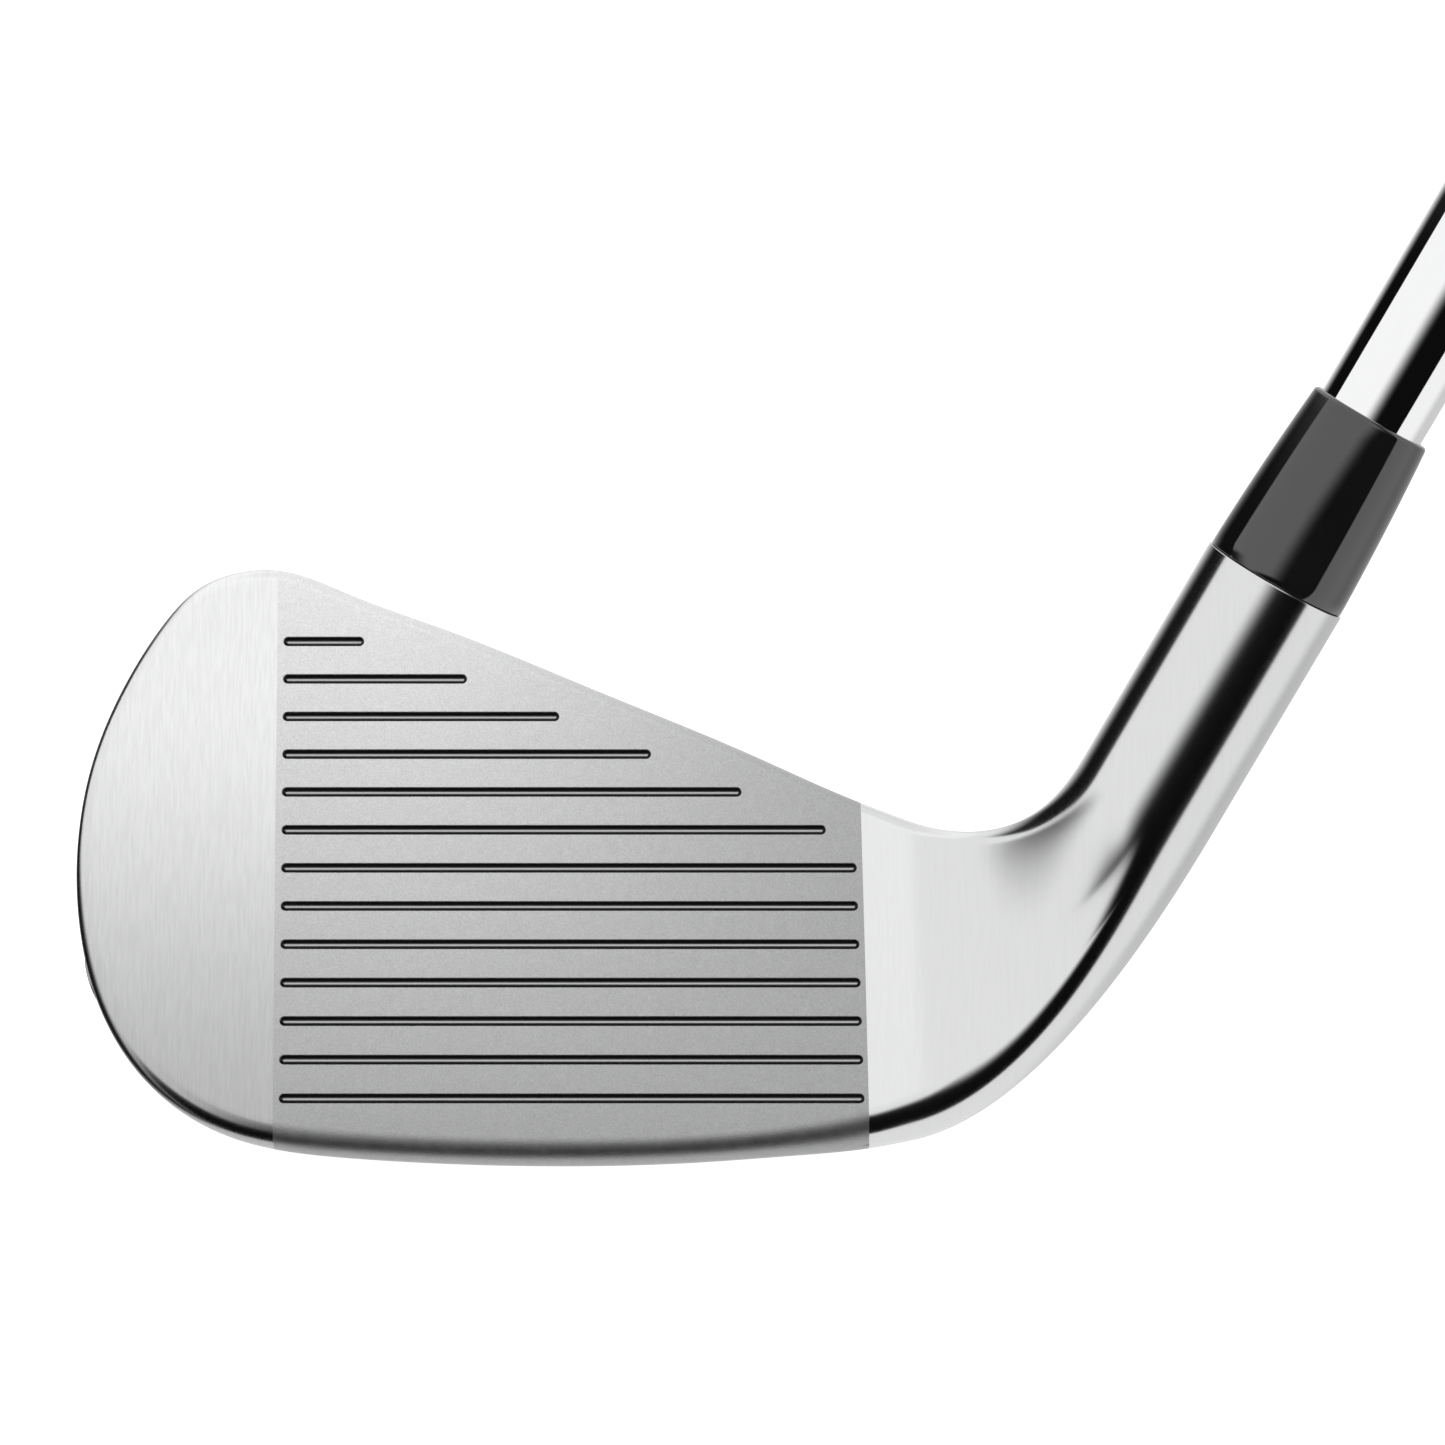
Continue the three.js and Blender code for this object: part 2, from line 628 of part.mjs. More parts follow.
const headPieces = {
  head_body: [headBody(), looks.chrome],
  face_insert: [faceInsert(), looks.blasted],
  toe_weight: [weight(toeBay), looks.tungsten],
  heel_weight: [weight(heelBay), looks.tungsten],
  polymer_core: [polymerCore(), looks.polymer],
  back_pad: [backPad(), looks.foam],
  back_plate: [backPlate(), looks.darkPlate],
  toe_screw: [toeScrew(), looks.steel],
  screw_seal: [screwSeal(), looks.seal],
};

const club = new THREE.Group();
const ground = belowGround();
for (const [name, [solid, look]] of Object.entries(headPieces)) {
  club.add(makeMesh(name, toGeometry(solid.subtract(ground)), look));
}

const shaftLine = new THREE.Group();
shaftLine.applyMatrix4(shaftFrame);
for (const [name, [geometry, look]] of Object.entries(shaftPieces)) {
  shaftLine.add(makeMesh(name, geometry, look));
}
club.add(shaftLine);

export default club;
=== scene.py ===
# Iron golf club: polished head, blasted face insert with scoring lines, black ferrule,
# stepped shaft and rubber grip
import math

import bmesh
import bpy
import numpy as np
from mathutils import Matrix, Vector
from mathutils.geometry import delaunay_2d_cdt


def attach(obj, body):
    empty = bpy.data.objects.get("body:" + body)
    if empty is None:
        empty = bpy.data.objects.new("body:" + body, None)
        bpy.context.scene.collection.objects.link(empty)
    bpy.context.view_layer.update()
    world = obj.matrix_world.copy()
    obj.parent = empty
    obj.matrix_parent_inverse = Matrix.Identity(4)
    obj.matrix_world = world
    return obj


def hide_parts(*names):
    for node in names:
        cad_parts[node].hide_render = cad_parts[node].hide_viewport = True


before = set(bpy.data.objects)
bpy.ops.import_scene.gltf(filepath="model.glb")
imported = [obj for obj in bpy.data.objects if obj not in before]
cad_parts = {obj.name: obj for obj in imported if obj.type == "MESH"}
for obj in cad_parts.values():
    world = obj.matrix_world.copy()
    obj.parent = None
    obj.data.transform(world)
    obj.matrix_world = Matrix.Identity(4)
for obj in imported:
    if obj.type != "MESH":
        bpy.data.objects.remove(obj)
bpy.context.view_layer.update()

print("club: frame loaded")
scene = bpy.context.scene
mm = 0.001

# Where everything sits: +X runs from toe to heel, the face looks to -Y
club = {
    "loft": 22.0,  # degrees
    "lie": 60.7,  # degrees
    "axisGroundX": 33.2,  # the shaft axis meets the ground here, mm
    "axisY": -3.5,
    "faceFootY": -9.4,  # the face plane meets the ground here
    "hoselTop": 64.3,  # along the axis from the ground
    "length": 984.0,
}
sinLoft, cosLoft = math.sin(math.radians(club["loft"])), math.cos(math.radians(club["loft"]))
sinLie, cosLie = math.sin(math.radians(club["lie"])), math.cos(math.radians(club["lie"]))
axisFoot = np.array([club["axisGroundX"], club["axisY"], 0.0])
shaftDir = np.array([cosLie, 0.0, sinLie])
innerSide = np.array([-sinLie, 0.0, cosLie])


def onFace(x, up, into):
    # x along the blade, up along the face, into the head at right angles to the face
    x, up, into = np.broadcast_arrays(np.asarray(x, float), up, into)
    return np.stack([x, club["faceFootY"] + up * sinLoft + into * cosLoft, up * cosLoft - into * sinLoft], -1)


def shaftMatrix():
    # takes a mesh turned about its own Z onto the shaft axis
    turn = Matrix.Rotation(math.radians(90 - club["lie"]), 4, "Y")
    return Matrix.Translation(Vector(axisFoot * mm)) @ turn


# Shader building: a wrapped socket, so that masks and heights read as sums
class Wire:
    def __init__(self, graph, socket):
        self.graph = graph
        self.socket = socket

    def maths(self, operation, *others):
        values = dict(enumerate((self, *others)))
        return self.graph.add("ShaderNodeMath", {"operation": operation}, values)[0]

    def __add__(self, other):
        return self.maths("ADD", other)

    def __sub__(self, other):
        return self.maths("SUBTRACT", other)

    def __rsub__(self, other):
        return self.graph.add("ShaderNodeMath", {"operation": "SUBTRACT"}, {0: other, 1: self})[0]

    def __mul__(self, other):
        return self.maths("MULTIPLY", other)

    def __truediv__(self, other):
        return self.maths("DIVIDE", other)

    def __pow__(self, other):
        return self.maths("POWER", other)

    __radd__ = __add__
    __rmul__ = __mul__

    def ramp(self, low, high, toLow=0.0, toHigh=1.0, steps="SMOOTHSTEP"):
        values = {"Value": self, "From Min": low, "From Max": high, "To Min": toLow, "To Max": toHigh}
        return self.graph.add("ShaderNodeMapRange", {"interpolation_type": steps}, values)[0]


class Graph:
    def __init__(self, tree):
        self.tree = tree
        tree.nodes.clear()

    def add(self, kind, settings=None, values=None):
        node = self.tree.nodes.new(kind)
        for key, value in (settings or {}).items():
            setattr(node, key, value)
        for key, value in (values or {}).items():
            socket = node.inputs[key] if isinstance(key, int) else self.pick(node, key)
            if isinstance(value, Wire):
                self.tree.links.new(value.socket, socket)
            else:
                socket.default_value = value
        return [Wire(self, output) for output in node.outputs if output.enabled]

    def pick(self, node, key):
        return [s for s in node.inputs if s.enabled and key in (s.identifier, s.name)][0]

    def place(self, scale=(1, 1, 1), turn=(0, 0, 0)):
        # object coordinates, stretched and turned
        where = self.add("ShaderNodeTexCoord")
        values = {"Vector": where[3], "Scale": scale, "Rotation": turn}
        return self.add("ShaderNodeMapping", None, values)[0]

    def noise(self, vector, scale, detail=2.0, rough=0.5):
        values = {"Vector": vector, "Scale": scale, "Detail": detail, "Roughness": rough}
        return self.add("ShaderNodeTexNoise", None, values)[0]

    def blend(self, factor, a, b):
        settings = {"data_type": "RGBA"}
        return self.add("ShaderNodeMix", settings, {"Factor_Float": factor, "A_Color": a, "B_Color": b})[0]

    def dot(self, vector, direction):
        return self.add("ShaderNodeVectorMath", {"operation": "DOT_PRODUCT"}, {0: vector, 1: direction})[0]

    def bump(self, height, strength, distance):
        values = {"Height": height, "Strength": strength, "Distance": distance}
        return self.add("ShaderNodeBump", None, values)[0]


def grey(level):
    return (level, level, level, 1.0)


def darker(tint, share):
    return tuple(share * c for c in tint[:3]) + (1.0,)


def makeMaterial(name, build):
    material = bpy.data.materials.new(name)
    material.use_nodes = True
    graph = Graph(material.node_tree)
    shader = build(graph)
    if isinstance(shader, dict):
        shader = graph.add("ShaderNodeBsdfPrincipled", None, shader)[0]
    graph.add("ShaderNodeOutputMaterial", None, {"Surface": shader})
    return material


# finishes, with painted light and shade on the toe end, the insert and the groove walls
finish = {
    "chromeTint": (0.76, 0.762, 0.768, 1.0),
    # painted light: the toe end's colour is raised so that its top reads brighter
    "toeTintPaintedLight": (0.86, 0.862, 0.868, 1.0),
    "chromeRough": 0.14,
    "toeRough": 0.18,  # the toe end keeps a fine upright brushing
    "toeEnd": (-0.02, 0.02),  # x over which the toe end's finish, painted light and painted shade give way, metres
    "brushScale": (3500, 900, 45),
    "brushRough": 0.06,
    "brushDark": 0.05,
    "toePaintedShade": (0.004, 0.046, 0.58, 1.0),  # painted shade: the toe end darker towards the sole; lower and upper height, and the brightness at each
    "blastPaintedShade": (0.485, 0.487, 0.491, 1.0),  # painted shade: darkest along the sole
    "blastPaintedLight": (0.95, 0.95, 0.955, 1.0),  # painted light: brightest towards the upper toe
    # spans, across and up in metres, over which the painted light gives way to the painted shade
    "blastFromX": (-0.02, 0.038),
    "blastFromZ": (0.004, 0.052),
    "blastRough": 0.42,
    "shaftTint": (0.95, 0.952, 0.956, 1.0),
    "ferruleIor": 1.9,
    # painted shade on the groove walls; the floor keeps the steel's grey
    "grooveWallPaintedShade": 0.05,
    "grooveFloor": 0.5,
}


def polishedChrome(graph):
    along = graph.place(finish["brushScale"])
    streak = graph.noise(along, 1.0, 3.0, 0.6)
    cloud = graph.noise(graph.place(), 35.0, 2.0)
    acrossX, _, upZ = graph.add("ShaderNodeSeparateXYZ", None, {"Vector": graph.place()})
    toe = acrossX.ramp(*finish["toeEnd"], 1.0, 0.0)
    rough = finish["chromeRough"] + toe * (finish["toeRough"] - finish["chromeRough"]) + cloud * 0.02
    # the toe end's brighter tint is painted light
    tint = graph.blend(toe, finish["chromeTint"], finish["toeTintPaintedLight"])
    dark = streak.ramp(0.3, 0.7, 0.0, 0.02) + toe * streak.ramp(0.3, 0.7, 0.0, finish["brushDark"])
    tint = graph.blend(dark, tint, grey(0.0))
    # painted shade: the toe end darker towards the sole
    low, high, darkest, full = finish["toePaintedShade"]
    tint = graph.blend(toe * (1 - upZ.ramp(low, high, darkest, full)), tint, grey(0.0))
    height = streak * toe + graph.noise(graph.place(), 260.0, 2.0) * 0.05
    return {"Base Color": tint, "Metallic": 1.0, "Roughness": rough + streak * toe * finish["brushRough"],
            "Normal": graph.bump(height, 0.12, 0.00002)}


def blastedSteel(graph):
    where = graph.place()
    grain = graph.noise(where, 6500.0, 3.0, 0.65)
    patch = graph.noise(where, 1400.0, 2.0)
    acrossX, _, upZ = graph.add("ShaderNodeSeparateXYZ", None, {"Vector": where})
    # painted light and shade: the insert brighter towards the upper toe, darker along the sole and the heel
    height = upZ.ramp(*finish["blastFromZ"], steps="LINEAR")
    toeward = acrossX.ramp(*finish["blastFromX"], 1.0, 0.06)
    tint = graph.blend(height * toeward, finish["blastPaintedShade"], finish["blastPaintedLight"])
    tint = graph.blend(grain.ramp(0.3, 0.7, 0.0, 0.18), tint, grey(0.0))
    return {"Base Color": tint, "Metallic": 1.0, "Roughness": finish["blastRough"] + (patch - 0.5) * 0.12,
            "Normal": graph.bump(grain + patch * 0.6, 0.3, 0.00004)}


def milledSteelAndWallShade(graph):
    # painted shade: dark walls over a lighter floor, told apart by the depth behind the face
    lines = graph.noise(graph.place((200, 9000, 9000)), 1.0, 2.0)
    depth = graph.dot(graph.place(), (0.0, cosLoft, -sinLoft)) - club["faceFootY"] * mm * cosLoft
    floorShare = depth.ramp(0.36 * mm, 0.42 * mm)
    tint = graph.blend(floorShare, grey(finish["grooveWallPaintedShade"]), grey(finish["grooveFloor"]))
    return {"Base Color": tint, "Metallic": 1.0, "Roughness": 0.3 + lines * 0.1,
            "Normal": graph.bump(lines, 0.1, 0.00002)}


def glossBlack(graph):
    flow = graph.noise(graph.place(), 180.0, 2.0)
    return {"Base Color": graph.blend(flow, grey(0.004), grey(0.007)), "Metallic": 0.0,
            "Roughness": 0.05 + flow * 0.02, "IOR": finish["ferruleIor"],
            "Normal": graph.bump(flow, 0.02, 0.0001)}


def shaftChrome(graph):
    drawn = graph.noise(graph.place((2400, 2400, 40), (0, math.radians(club["lie"] - 90), 0)), 1.0, 3.0)
    return {"Base Color": graph.blend(drawn, finish["shaftTint"], darker(finish["shaftTint"], 0.98)),
            "Metallic": 1.0, "Roughness": 0.03 + drawn * 0.02, "Normal": graph.bump(drawn, 0.015, 0.00002)}


def gripRubber(graph):
    where = graph.place()
    grain = graph.noise(where, 3200.0, 3.0, 0.6)
    worn = graph.noise(where, 60.0, 3.0)
    tint = graph.blend(worn.ramp(0.35, 0.7), grey(0.010), grey(0.018))
    return {"Base Color": tint, "Metallic": 0.0, "Roughness": 0.62 + worn * 0.2,
            "Normal": graph.bump(grain, 0.25, 0.0001)}


def plateDark(graph):
    lines = graph.noise(graph.place((300, 5000, 5000)), 1.0, 3.0)
    return {"Base Color": graph.blend(lines, grey(0.018), grey(0.032)), "Metallic": 0.7,
            "Roughness": 0.32 + lines * 0.12, "Normal": graph.bump(lines, 0.08, 0.00003)}


def plainFinish(light, dark, metallic, rough, scale):
    # a quiet mottled finish for pieces inside the head and under the grip
    def build(graph):
        mottle = graph.noise(graph.place(), scale, 3.0)
        return {"Base Color": graph.blend(mottle, light, dark), "Metallic": metallic,
                "Roughness": rough + (mottle - 0.5) * 0.15, "Normal": graph.bump(mottle, 0.15, 0.0001)}
    return build


builders = (polishedChrome, blastedSteel, milledSteelAndWallShade, glossBlack, shaftChrome, gripRubber, plateDark)
materials = {build.__name__: makeMaterial(build.__name__, build) for build in builders}
quiet = {  # light, dark, metallic, roughness, scale of the mottle
    "screwSteel": (grey(0.42), grey(0.36), 1.0, 0.3, 900.0),
    "bandGrey": (grey(0.05), grey(0.04), 0.2, 0.4, 500.0),
    "tungsten": (grey(0.2), grey(0.15), 1.0, 0.45, 1500.0),
    "corePolymer": ((0.03, 0.09, 0.2, 1), (0.02, 0.07, 0.16, 1), 0.0, 0.6, 800.0),
    "padFoam": (grey(0.1), grey(0.06), 0.0, 0.9, 2500.0),
    "sealRubber": (grey(0.015), grey(0.01), 0.0, 0.7, 1500.0),
    "adhesive": ((0.6, 0.5, 0.3, 1), (0.5, 0.4, 0.22, 1), 0.0, 0.5, 700.0),
    "plugBrass": ((0.6, 0.42, 0.16, 1), (0.5, 0.34, 0.12, 1), 1.0, 0.35, 900.0),
    "tapePaper": ((0.5, 0.42, 0.25, 1), (0.42, 0.35, 0.2, 1), 0.0, 0.85, 400.0),
}
for name, look in quiet.items():
    materials[name] = makeMaterial(name, plainFinish(*look))
print("club: finishes made")


def put(name, data):
    thing = bpy.data.objects.new(name, data)
    scene.collection.objects.link(thing)
    return thing


def makePiece(name, parts, names, sharp=40.0):
    # parts: (points in mm, faces, material index); doubles are merged and normals face out
    build = bmesh.new()
    for points, faces, slot in parts:
        corners = [build.verts.new(p) for p in (np.asarray(points, float) * mm).tolist()]
        for face in faces:
            try:
                build.faces.new([corners[i] for i in face]).material_index = slot
            except ValueError:
                continue
    bmesh.ops.remove_doubles(build, verts=build.verts, dist=1e-6)
    bmesh.ops.dissolve_degenerate(build, edges=build.edges, dist=1e-8)
    bmesh.ops.recalc_face_normals(build, faces=build.faces)
    mesh = bpy.data.meshes.new(name)
    build.to_mesh(mesh)
    build.free()
    for key in names:
        mesh.materials.append(materials[key])
    return finishPiece(name, mesh, sharp)


def finishPiece(name, mesh, sharp=40.0):
    # smooth shading that keeps flats flat: big faces outweigh small ones at each corner
    mesh.shade_smooth()
    mesh.set_sharp_from_angle(angle=math.radians(sharp))
    draft = put(name + "Draft", mesh)
    weigh = draft.modifiers.new("weigh", "WEIGHTED_NORMAL")
    weigh.keep_sharp = True
    weigh.weight = 50
    return bakeObject(draft, name)


def bakeObject(draft, name):
    # the evaluated result as a plain mesh in an object of its own
    view = bpy.context.evaluated_depsgraph_get()
    solved = draft.evaluated_get(view)
    mesh = bpy.data.meshes.new_from_object(solved, preserve_all_data_layers=True, depsgraph=view)
    old = draft.data
    bpy.data.objects.remove(draft)
    bpy.data.meshes.remove(old)
    mesh.name = name
    return put(name, mesh)


def gridFaces(rows, columns):
    # quads over rows of equal length, numbered row by row
    return [(i * columns + j, i * columns + j + 1, (i + 1) * columns + j + 1, (i + 1) * columns + j)
            for i in range(rows - 1) for j in range(columns - 1)]


def ringFaces(rings, size):
    # quads between closed rings of equal size, numbered ring by ring
    return [(k * size + i, k * size + (i + 1) % size, (k + 1) * size + (i + 1) % size, (k + 1) * size + i)
            for k in range(rings - 1) for i in range(size)]


def turned(points, segments):
    # closed ring of (radius, along) points, turned about the shaft axis
    outline = np.array(points, float)
    count = len(outline)
    angles = np.arange(segments) * 2 * math.pi / segments
    rings = np.stack([
        outline[None, :, 0] * np.cos(angles)[:, None],
        outline[None, :, 0] * np.sin(angles)[:, None],
        np.broadcast_to(outline[None, :, 1], (segments, count)),
    ], -1).reshape(-1, 3)
    faces = []
    for i in range(segments):
        a, b = i * count, ((i + 1) % segments) * count
        faces += [(a + j, b + j, b + (j + 1) % count, a + (j + 1) % count) for j in range(count)]
    return rings, faces


def onShaft(points):
    beside, behind = np.array([sinLie, 0.0, -cosLie]), np.array([0.0, 1.0, 0.0])
    return axisFoot + points[:, :1] * beside + points[:, 1:2] * behind + points[:, 2:] * shaftDir


# Head
head = {
    "leadingRadius": 2.4,
    "heelRadius": 3.9,  # the leading edge's rounding where the blade meets the neck
    "heelRadiusFrom": 14.0,  # x at which it starts to grow
    "toplineRadius": 1.3,
    "toplineThickness": 6.0,
    "footDepth": 24.0,
    "envelopeHeight": 58.0,
    "envelopePower": 2.6,
    "soleRise": 4.0,
    "wallDraft": 0.9,
    "soleCamber": 0.33,
    "backRadius": 1.3,
    "soleBackExtra": 0.9,  # the sole's back edge is this much rounder
    "neckLeave": 1.0,
    "neckArrive": 0.9,
    # where the section's corners arrive round the hosel, in degrees from its front
    "neckMarks": {
        "top": (0.0, 50.0, 78.0, 104.0, 124.0, 180.0),
        "sole": (0.0, 14.0, 78.0, 108.0, 128.0, 180.0),
    },
    "neckEase": 0.1,  # more on the topline's side, less on the sole's
    "neckSlopeFrom": 0.985,  # share of the blade from which the neck takes its direction
    "hoselRadius": 6.9,
    "hoselStraight": 23.0,
    "hoselMiddle": 12.0,
    "hoselBevel": 0.14,
    "boreRadius": 5.35,
    "boreShown": 8.0,  # the bore is modelled down to here, inside the ferrule's end
    "cavityFloor": 4.9,  # depth of the open back's floor, parallel to the face
    "cavityFillet": 2.4,
    "insertDepth": 2.4,
    "insertSoleDepth": 13.2,  # how far the insert wraps under the sole
    "insertSoleHeight": 3.2,
    "insertGap": 0.15,
}
# outline from the topline's heel end, over the toe, to the sole's heel end: x, up the face
outlinePoints = np.array([
    [31.5, 34.75], [26, 36.9], [16.7, 41.1], [2, 47.3], [-11.6, 52.9], [-21.2, 56.5], [-27.9, 58.8],
    [-31.5, 58.65], [-35.4, 57.1], [-38.9, 53.4], [-42.3, 47.7], [-45.2, 40.2], [-46.4, 32], [-46, 24.3],
    [-43.9, 16.8], [-39.85, 10.5], [-35.1, 6.65], [-30.8, 4.75], [-27.5, 3.95],
    [-20.7, 3.15], [-11, 2.6], [0, 2.4], [12, 2.75], [21.4, 3.45], [28.2, 4.2], [33, 5.2],
])
joinTop, joinSole = 6, 18  # outline points where the toe end starts and stops
toeCentre = np.array([-27.7, 31.0])
borderX = {"top": 27.1, "sole": 28.0}  # the insert's heel border
heelX = {"top": 31.3, "sole": 32.0}  # the blade's last section
toeX = {"top": outlinePoints[joinTop][0], "sole": outlinePoints[joinSole][0]}
borderShare = (borderX["top"] - toeX["top"]) / (heelX["top"] - toeX["top"])
cavityOutline = np.array([
    [-36.5, 24.5], [-39.6, 27.5], [-40.6, 33], [-38.6, 42], [-34.6, 50], [-31.2, 53], [-27, 52.9],
    [20, 33.2], [24, 29.5], [24.5, 26.5], [22.5, 24.5],
])
steps = {"front": 22, "arc": 14, "skirt": 6, "wall": 8, "backArc": 8, "back": 40}
stations = {"blade": 72, "heel": 6, "toe": 96, "neck": 56}
skirtEnd = steps["front"] + steps["arc"] + steps["skirt"]
wallEndAt = skirtEnd + steps["wall"]
backArcEnd = wallEndAt + steps["backArc"]


def smoothCurve(points, samples=6000):
    # natural cubic spline through the points, by chord length: (knot values, sample values, samples)
    chords = np.linalg.norm(np.diff(points, axis=0), axis=1)
    knots = np.concatenate([[0], np.cumsum(chords)])
    count = len(points)
    system = np.eye(count)
    right = np.zeros((count, points.shape[1]))
    for i in range(1, count - 1):
        before, after = chords[i - 1], chords[i]
        system[i, i - 1:i + 2] = before, 2 * (before + after), after
        right[i] = 6 * ((points[i + 1] - points[i]) / after - (points[i] - points[i - 1]) / before)
    bend = np.linalg.solve(system, right)
    at = np.linspace(0, knots[-1], samples)
    i = np.clip(np.searchsorted(knots, at) - 1, 0, count - 2)
    h = chords[i][:, None]
    a, b = (knots[i + 1] - at)[:, None] / h, (at - knots[i])[:, None] / h
    sag = ((a ** 3 - a) * bend[i] + (b ** 3 - b) * bend[i + 1]) * h ** 2 / 6
    return knots, at, a * points[i] + b * points[i + 1] + sag


knots, outlineAt, outline = smoothCurve(outlinePoints)
topPart = outline[outlineAt <= knots[joinTop]]
solePart = outline[outlineAt >= knots[joinSole]]


def rimAt(side, f):
    # outline point at the share f of the way from the toe end to the last blade section
    x = toeX[side] + (heelX[side] - toeX[side]) * f
    part = topPart[::-1] if side == "top" else solePart
    return np.array([x, np.interp(x, part[:, 0], part[:, 1])])


def spineAt(f):
    top, sole = rimAt("top", f), rimAt("sole", f)
    middle = (top + sole) / 2
    return np.array([middle[0], toeCentre[1] + (middle[1] - toeCentre[1]) * f])


def insideDistance(x, up, corners):
    # distance inwards from a polygon's edge, negative outside
    p = np.stack([x, up], -1)
    nearest = np.full(p.shape[:-1], 1e9)
    crossings = np.zeros(p.shape[:-1], int)
    for a, b in zip(corners, np.roll(corners, -1, axis=0)):
        edge = b - a
        t = np.clip(((p - a) @ edge) / (edge @ edge), 0, 1)
        nearest = np.minimum(nearest, np.linalg.norm(p - a - t[..., None] * edge, axis=-1))
        spans = (a[1] > p[..., 1]) != (b[1] > p[..., 1])
        height = edge[1] if edge[1] else 1e-9
        crossings += spans & (p[..., 0] < a[0] + (p[..., 1] - a[1]) * edge[0] / height)
    return np.where(crossings % 2 == 1, nearest, -nearest)


def smootherStep(t):
    t = np.clip(t, 0, 1)
    return t * t * t * (t * (6 * t - 15) + 10)


def backDepth(up):
    fall = np.maximum(0, 1 - np.asarray(up, float) / head["envelopeHeight"])
    swell = head["footDepth"] - head["toplineThickness"]
    return head["toplineThickness"] + swell * fall ** head["envelopePower"]


def backSurface(x, up):
    # the back with its open cavity
    inside = insideDistance(x, up, cavityOutline)
    share = smootherStep((inside + head["cavityFillet"] / 2) / head["cavityFillet"])
    full = backDepth(up)
    return full + (np.minimum(head["cavityFloor"], full) - full) * share


def arcPoint(a, b, c, t):
    return (1 - t) ** 2 * a + 2 * t * (1 - t) * b + t ** 2 * c


def bladeProfile(rim, spine):
    # from the spine out over the face, round the rim, and back behind to the spine
    inward = spine - rim
    reach = np.linalg.norm(inward)
    inward = inward / reach
    down = max(0.0, inward[1]) ** 2  # 1 on the sole, 0 on the toe and topline
    heelward = max(0.0, (rim[0] - head["heelRadiusFrom"]) / (heelX["sole"] - head["heelRadiusFrom"])) ** 2
    leading = head["leadingRadius"] + (head["heelRadius"] - head["leadingRadius"]) * heelward
    radius = head["toplineRadius"] + (leading - head["toplineRadius"]) * math.sqrt(down)
    draft = head["wallDraft"] + (head["soleRise"] - head["wallDraft"]) * down
    backRadius = head["backRadius"] + head["soleBackExtra"] * down
    wallEnd = float(backDepth(rim[1] + inward[1] * draft)) - backRadius
    skirt = head["insertDepth"] + (head["insertSoleDepth"] - head["insertDepth"]) * down
    camber = head["soleCamber"]
    share = (skirt - radius) / (wallEnd - radius)
    skirtT = (-camber + math.sqrt(camber ** 2 + (1 - 2 * camber) * share)) / (1 - 2 * camber)
    front = np.linspace(reach, radius + 0.12, steps["front"])
    turn = np.arange(steps["arc"]) / steps["arc"] * math.pi / 2
    wall = np.concatenate([
        np.arange(steps["skirt"]) / steps["skirt"] * skirtT,
        skirtT + np.arange(steps["wall"]) / steps["wall"] * (1 - skirtT),
    ])
    backTurn = np.arange(steps["backArc"]) / steps["backArc"]
    end = draft + backRadius
    back = end + (reach - end) * np.arange(steps["back"] + 1) / steps["back"]
    backX, backUp = rim[0] + inward[0] * back, rim[1] + inward[1] * back
    offset = np.concatenate([
        front,
        radius * (1 - np.sin(turn)),
        arcPoint(0, 0, draft, wall),
        arcPoint(draft, draft + 0.2 * backRadius, end, backTurn),
        back,
    ])
    backStart = float(backDepth(rim[1] + inward[1] * end))
    depth = np.concatenate([
        0 * front,
        radius * (1 - np.cos(turn)),
        arcPoint(radius, radius + camber * (wallEnd - radius), wallEnd, wall),
        arcPoint(wallEnd, wallEnd + backRadius, backStart, backTurn),
        backSurface(backX, backUp),
    ])
    points = onFace(rim[0] + inward[0] * offset, rim[1] + inward[1] * offset, depth)
    points[:, 2] = np.maximum(points[:, 2], 0)  # the sole rests flat where it meets the ground
    return points


def hermite(t):
    # weights of the start, its slope, the end and its slope
    return 2 * t ** 3 - 3 * t ** 2 + 1, t ** 3 - 2 * t ** 2 + t, 3 * t ** 2 - 2 * t ** 3, t ** 3 - t ** 2


def steadyRise(x, y, at):
    # monotone cubic through the knots, smooth in slope
    h, slope = np.diff(x), np.diff(y) / np.diff(x)
    tangent = np.zeros(len(x))
    tangent[0], tangent[-1] = slope[0], slope[-1]
    w1, w2 = 2 * h[1:] + h[:-1], h[1:] + 2 * h[:-1]
    tangent[1:-1] = (w1 + w2) / (w1 / slope[:-1] + w2 / slope[1:])
    i = np.clip(np.searchsorted(x, at) - 1, 0, len(x) - 2)
    start, startSlope, end, endSlope = hermite((at - x[i]) / h[i])
    return (start * y[i] + startSlope * h[i] * tangent[i]
            + end * y[i + 1] + endSlope * h[i] * tangent[i + 1])


def hoselRing(angles, side, along, radius):
    centre = axisFoot + shaftDir * along
    forward = np.array([0.0, -1.0, 0.0])
    return centre + radius * (np.cos(angles)[:, None] * forward + side * np.sin(angles)[:, None] * innerSide)


